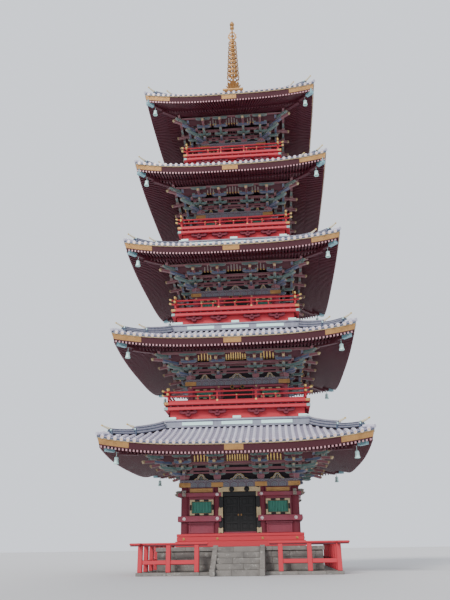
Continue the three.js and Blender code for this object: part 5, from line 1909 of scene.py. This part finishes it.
class PAGODA_OT_railings(bpy.types.Operator):
    """Railings with a foot rail, a middle rail and a round top rail that cross and turn up at the corners"""

    bl_idname = "pagoda.railings"
    bl_label = "Railings"

    def execute(self, context):
        for storey in range(1, STOREYS):
            self.build(storey)
        return {"FINISHED"}

    def build(self, storey):
        rail, inner, line = RAIL_LINE[storey], INNER_PILLAR[storey], PILLAR_LINE[storey]
        red, gilt = "red_lacquer", "bright_gilt"
        beyond, radius = 0.33, sizes().rail_radius
        reach, foot_top = rail + beyond, DECK[1] + 0.09
        top_z, middle_z = TOP_RAIL + 0.04, MID_RAIL + 0.035

        def bent(xs, height, share):
            """A path along the front that turns up past the corner posts."""
            rises = [0.11 * max(abs(x) - rail, 0) ** 2 / beyond**2 for x in xs]
            return [((x, -rail, height + share * rise), 1.0) for x, rise in zip(xs, rises)]

        def upright_bar(finish, half, z0, z1, edge, x=0.0):
            return block(finish, (x - half, x + half), (-rail - half, -rail + half), (z0, z1), edge)

        stations = [-reach, -reach + 0.09, -reach + 0.18, -rail, -rail / 2]
        stations += [0] + [-x for x in reversed(stations)]
        flat = both_sides([(0.045, 0.028), (0.045, -0.028)])
        bay = (line + inner) / 2
        bays = [-bay - 0.25, -bay + 0.35, 0, bay - 0.35, bay + 0.25]
        parts = [
            smoothed(swept(red, bent(stations, top_z, 1.0), round_section(radius)), 40),
            swept(red, bent(stations, middle_z, 0.8), flat),
            block(
                red, (-rail - 0.045, rail + 0.045), (-rail - 0.045, -rail + 0.045), (DECK[1], DECK[1] + 0.10),
                0.01,
            ),
            along_x(upright_bar(red, 0.042, foot_top, top_z - 0.02, 0.008), (-inner, inner)),
            upright_bar(red, 0.05, foot_top, TOP_RAIL + 0.14, 0.01, -rail),
            along_x(upright_bar(red, 0.035, foot_top, MID_RAIL + 0.01, 0.006), bays),
        ]
        caps = []
        for side in (-1, 1):
            ends = [side * (reach - 0.12), side * (reach - 0.06), side * (reach + 0.006)]
            caps.append(swept(gilt, bent(ends, top_z, 1.0), round_section(radius + 0.006)))
            caps.append(swept(gilt, bent(ends, middle_z, 0.8), [(a * 1.14, b * 1.25) for a, b in flat]))
        knob = [
            (0, 0), (0.055, 0), (0.06, 0.025), (0.035, 0.04), (0.04, 0.055), (0.052, 0.085), (0.042, 0.115),
            (0.016, 0.135), (0, 0.155),
        ]
        collar = block(
            gilt, (-0.042, 0.042), (-rail - 0.05, -rail + 0.05), (middle_z, middle_z + 0.03), 0.004
        )
        caps += [
            moved(turned(gilt, knob, 12), -rail, -rail, TOP_RAIL + 0.135),
            along_x(collar, bays),
            along_x(upright_bar(gilt, 0.048, foot_top - 0.08, foot_top + 0.03, 0.004), (-inner, inner)),
        ]
        finished_storey("railing_timbers_", storey, "railing_", parts)
        finished_storey("railing_fittings_", storey, "railing_", caps)


# Finial


def spokes(piece, count=8, first=0.0):
    """A piece repeated evenly about the tower's axis, the first copy turned by a share of their spacing."""
    spread = [copied(piece, turn=(k + first) * 2 * math.pi / count) for k in range(count)]
    bpy.data.objects.remove(piece)
    return joined(*spread)


class PAGODA_OT_finial(bpy.types.Operator):
    """Gilt finial: dew basin, bowl, lotus, spoked rings on the mast, openwork flames, ball and jewel"""

    bl_idname = "pagoda.finial"
    bl_label = "Finial"

    def execute(self, context):
        base = eave_height(STOREYS - 1) + FINIAL_SEAT
        for name, node_name, parts in (
            ("finial_dew_basin", "dew_basin", self.basin()),
            ("finial_bowl_and_lotus", "lotus_bowl", self.bowl()),
            ("finial_rings_and_mast", "ring_mast", self.rings()),
            ("finial_flames_and_jewel", "flame_and_jewel", self.flames()),
        ):
            finished(name, [moved(joined(*parts), z=base)], [node_name])
        return {"FINISHED"}

    def basin(self):
        lip = [(0.5, 0.80), (0.60, 0.80), (0.66, 0.86), (0.68, 0.9), (0.68, 0.97), (0.66, 1.0), (0.5, 1.0)]
        panels = [
            block("gilt", (x - 0.14, x + 0.14), (-0.575, -0.55), (0.2, 0.68), 0.01) for x in (-0.34, 0, 0.34)
        ]
        return [
            block("gilt", (-0.56, 0.56), (-0.56, 0.56), (0, 0.82), 0.015),
            ring_moulding("gilt", lip),
            ring_beam("gilt", 0.60, 0.5, (0.0, 0.10), 0.01),
            block("gilt", (-0.52, 0.52), (-0.52, 0.52), (0.9, 0.995), 0.004),
            all_round(*panels),
        ]

    def bowl(self):
        profile = [
            (0, 1.0), (0.47, 1.0), (0.465, 1.1), (0.43, 1.2), (0.36, 1.3), (0.27, 1.38), (0.13, 1.44),
            (0.11, 1.5), (0, 1.5),
        ]
        outline = [
            (-0.1, -0.14, 1.5), (0.1, -0.14, 1.5), (0.125, -0.30, 1.56), (0.06, -0.47, 1.72), (0, -0.52, 1.8)
        ]
        outline += [(-0.06, -0.47, 1.72), (-0.125, -0.30, 1.56)]
        petal = prism("gilt", outline, (0, 0.01, 0.03))
        upper_petal = placed(copied(petal, (0, 0, 0.02)), Matrix.Diagonal((0.86, 0.86, 1, 1)))
        rim = [(0, 1.49), (0.2, 1.49), (0.3, 1.6), (0.34, 1.74), (0.3, 1.83), (0, 1.83)]
        return [
            turned("gilt", profile, 28), turned("gilt", rim, 24), spokes(petal),
            spokes(upper_petal, first=0.5),
        ]

    def rings(self):
        parts = [turned("gilt", [(0, 1.83), (0.075, 1.83), (0.075, 5.73), (0, 5.73)], 16)]
        for k in range(sizes().finial_rings):
            z, radius = RING_FOOT + RING_RISE * k, 0.43 - 0.018 * k
            inside, lip = radius - 0.05, radius - 0.008
            band = [
                (inside, -0.05), (lip, -0.055), (radius, -0.03), (radius, 0.03), (lip, 0.055), (inside, 0.05)
            ]
            hub = [(0.07, -0.05), (0.105, -0.045), (0.115, 0), (0.105, 0.045), (0.07, 0.05)]
            bar = [(0.09, -0.03), (radius - 0.03, -0.03), (radius - 0.03, 0.03), (0.09, 0.03)]
            drop = [(0, -0.05), (0.012, -0.055), (0.03, -0.12), (0.034, -0.15), (0, -0.15)]
            ring = [
                turned("gilt", band, 32), turned("gilt", hub, 16), spokes(outward("gilt", bar, 0.03)),
                spokes(moved(turned("gilt", drop, 8), y=-radius + 0.02), first=0.5),
            ]
            parts.append(moved(joined(*ring), z=z))
        return parts

    def flames(self):
        foot = RING_FOOT + RING_RISE * 8 + 0.26
        outer = [
            (0.04, 0.0), (0.15, 0.05), (0.22, 0.16), (0.33, 0.33), (0.27, 0.42), (0.3, 0.56), (0.2, 0.62),
            (0.18, 0.76), (0.09, 0.80), (0.05, 0.9),
        ]
        inner = [
            (0.05, 0.72), (0.13, 0.66), (0.14, 0.56), (0.2, 0.47), (0.19, 0.36), (0.13, 0.24), (0.05, 0.18)
        ]
        scroll = [(0.05, 0.32), (0.13, 0.36), (0.17, 0.43), (0.12, 0.5), (0.05, 0.54)]
        stem = [
            (0, 0), (0.05, 0), (0.05, 1.02), (0.09, 1.05), (0.14, 1.1), (0.155, 1.165), (0.14, 1.23),
            (0.09, 1.27),
            (0.045, 1.29), (0.045, 1.34), (0.12, 1.38), (0.165, 1.46), (0.165, 1.53), (0.13, 1.62),
            (0.06, 1.74),
            (0, 7.57 - foot),
        ]
        flame = joined(outward("gilt", outer + inner, 0.03), outward("gilt", scroll, 0.026))
        return [moved(joined(four_sides(flame), turned("gilt", stem, 24)), z=foot)]


# Stage


class PAGODA_OT_stage(bpy.types.Operator):
    """Pale floor, soft studio light and the camera at the photograph's viewing angle"""

    bl_idname = "pagoda.stage"
    bl_label = "Stage"

    def execute(self, context):
        scene = bpy.context.scene
        only()
        bpy.ops.mesh.primitive_plane_add(size=900, location=(0, 0, 0))
        floor = bpy.context.object
        floor.name = "stage_floor"
        material = bpy.data.materials.new("stage_paper")
        material.use_nodes = True
        surface = material.node_tree.nodes["Principled BSDF"]
        surface.inputs["Base Color"].default_value = (0.56, 0.56, 0.57, 1)
        surface.inputs["Roughness"].default_value = 0.9
        floor.data.materials.append(material)
        world = bpy.data.worlds.new("soft_sky")
        world.use_nodes = True
        tree = world.node_tree
        background = tree.nodes["Background"]
        background.inputs["Color"].default_value = (0.86, 0.90, 0.98, 1)
        seen = node(tree, "LightPath").outputs["Is Camera Ray"]
        strength = node(tree, "MapRange", {"Value": seen, "To Min": 0.88, "To Max": 1.3})
        tree.links.new(strength.outputs["Result"], background.inputs["Strength"])
        scene.world = world
        self.lamp("key", (-30, -54, 50), 3.0, 18, (1.0, 0.97, 0.93))
        self.lamp("fill", (34, -48, 20), 0.5, 60, (0.94, 0.96, 1.0))
        self.lamp("back", (10, 60, 50), 1.0, 40, (1.0, 1.0, 1.0))
        camera = bpy.data.objects.new("photo_view", bpy.data.cameras.new("photo_view"))
        scene.collection.objects.link(camera)
        camera.data.lens = CAMERA_LENS
        camera.data.sensor_width = 36
        camera.data.clip_end = 2000
        about_z, about_x = (
            Matrix.Rotation(math.radians(turn), 4, axis) for turn, axis in zip(CAMERA_TURNS, "ZX")
        )
        roll = Matrix.Rotation(CAMERA_ROLL, 4, "Z")
        camera.matrix_world = Matrix.Translation(CAMERA_PLACE) @ about_z @ about_x @ roll
        scene.camera = camera
        return {"FINISHED"}

    def lamp(self, name, place, strength, softness, rgb):
        lamp = bpy.data.lights.new(name, "SUN")
        lamp.energy = strength
        lamp.angle = math.radians(softness)
        lamp.color = rgb
        holder = bpy.data.objects.new(name, lamp)
        bpy.context.scene.collection.objects.link(holder)
        holder.location = place
        holder.rotation_euler = Vector(place).to_track_quat("Z", "Y").to_euler()


PARTS = (
    PAGODA_OT_podium, PAGODA_OT_podium_railing, PAGODA_OT_steps, PAGODA_OT_sill, PAGODA_OT_ground_walls,
    PAGODA_OT_windows, PAGODA_OT_doors, PAGODA_OT_upper_walls, PAGODA_OT_head_beams, PAGODA_OT_brackets,
    PAGODA_OT_eaves, PAGODA_OT_roofs, PAGODA_OT_ridges, PAGODA_OT_balconies, PAGODA_OT_railings,
    PAGODA_OT_finial, PAGODA_OT_stage,
)


class PAGODA_PT_sidebar(bpy.types.Panel):
    """Sizes, colours and the pieces of the pagoda"""

    bl_idname = "PAGODA_PT_sidebar"
    bl_label = "Pagoda"
    bl_space_type = "VIEW_3D"
    bl_region_type = "UI"
    bl_category = "Pagoda"

    def draw(self, context):
        column = self.layout.column(align=True)
        for group in (context.scene.pagoda_sizes, context.scene.pagoda_colours):
            for key in group.__annotations__:
                column.prop(group, key)
            column.separator()
        for part in PARTS:
            column.operator(part.bl_idname)


CLASSES = (PagodaSizes, PagodaColours, *PARTS, PAGODA_PT_sidebar)


def register():
    for cls in CLASSES:
        bpy.utils.register_class(cls)
    bpy.types.Scene.pagoda_sizes = PointerProperty(type=PagodaSizes)
    bpy.types.Scene.pagoda_colours = PointerProperty(type=PagodaColours)


def unregister():
    del bpy.types.Scene.pagoda_colours
    del bpy.types.Scene.pagoda_sizes
    for cls in reversed(CLASSES):
        bpy.utils.unregister_class(cls)


def main():
    register()
    make_finishes()
    for part in PARTS:
        group, name = part.bl_idname.split(".")
        getattr(getattr(bpy.ops, group), name)()


if __name__ == "__main__":
    main()
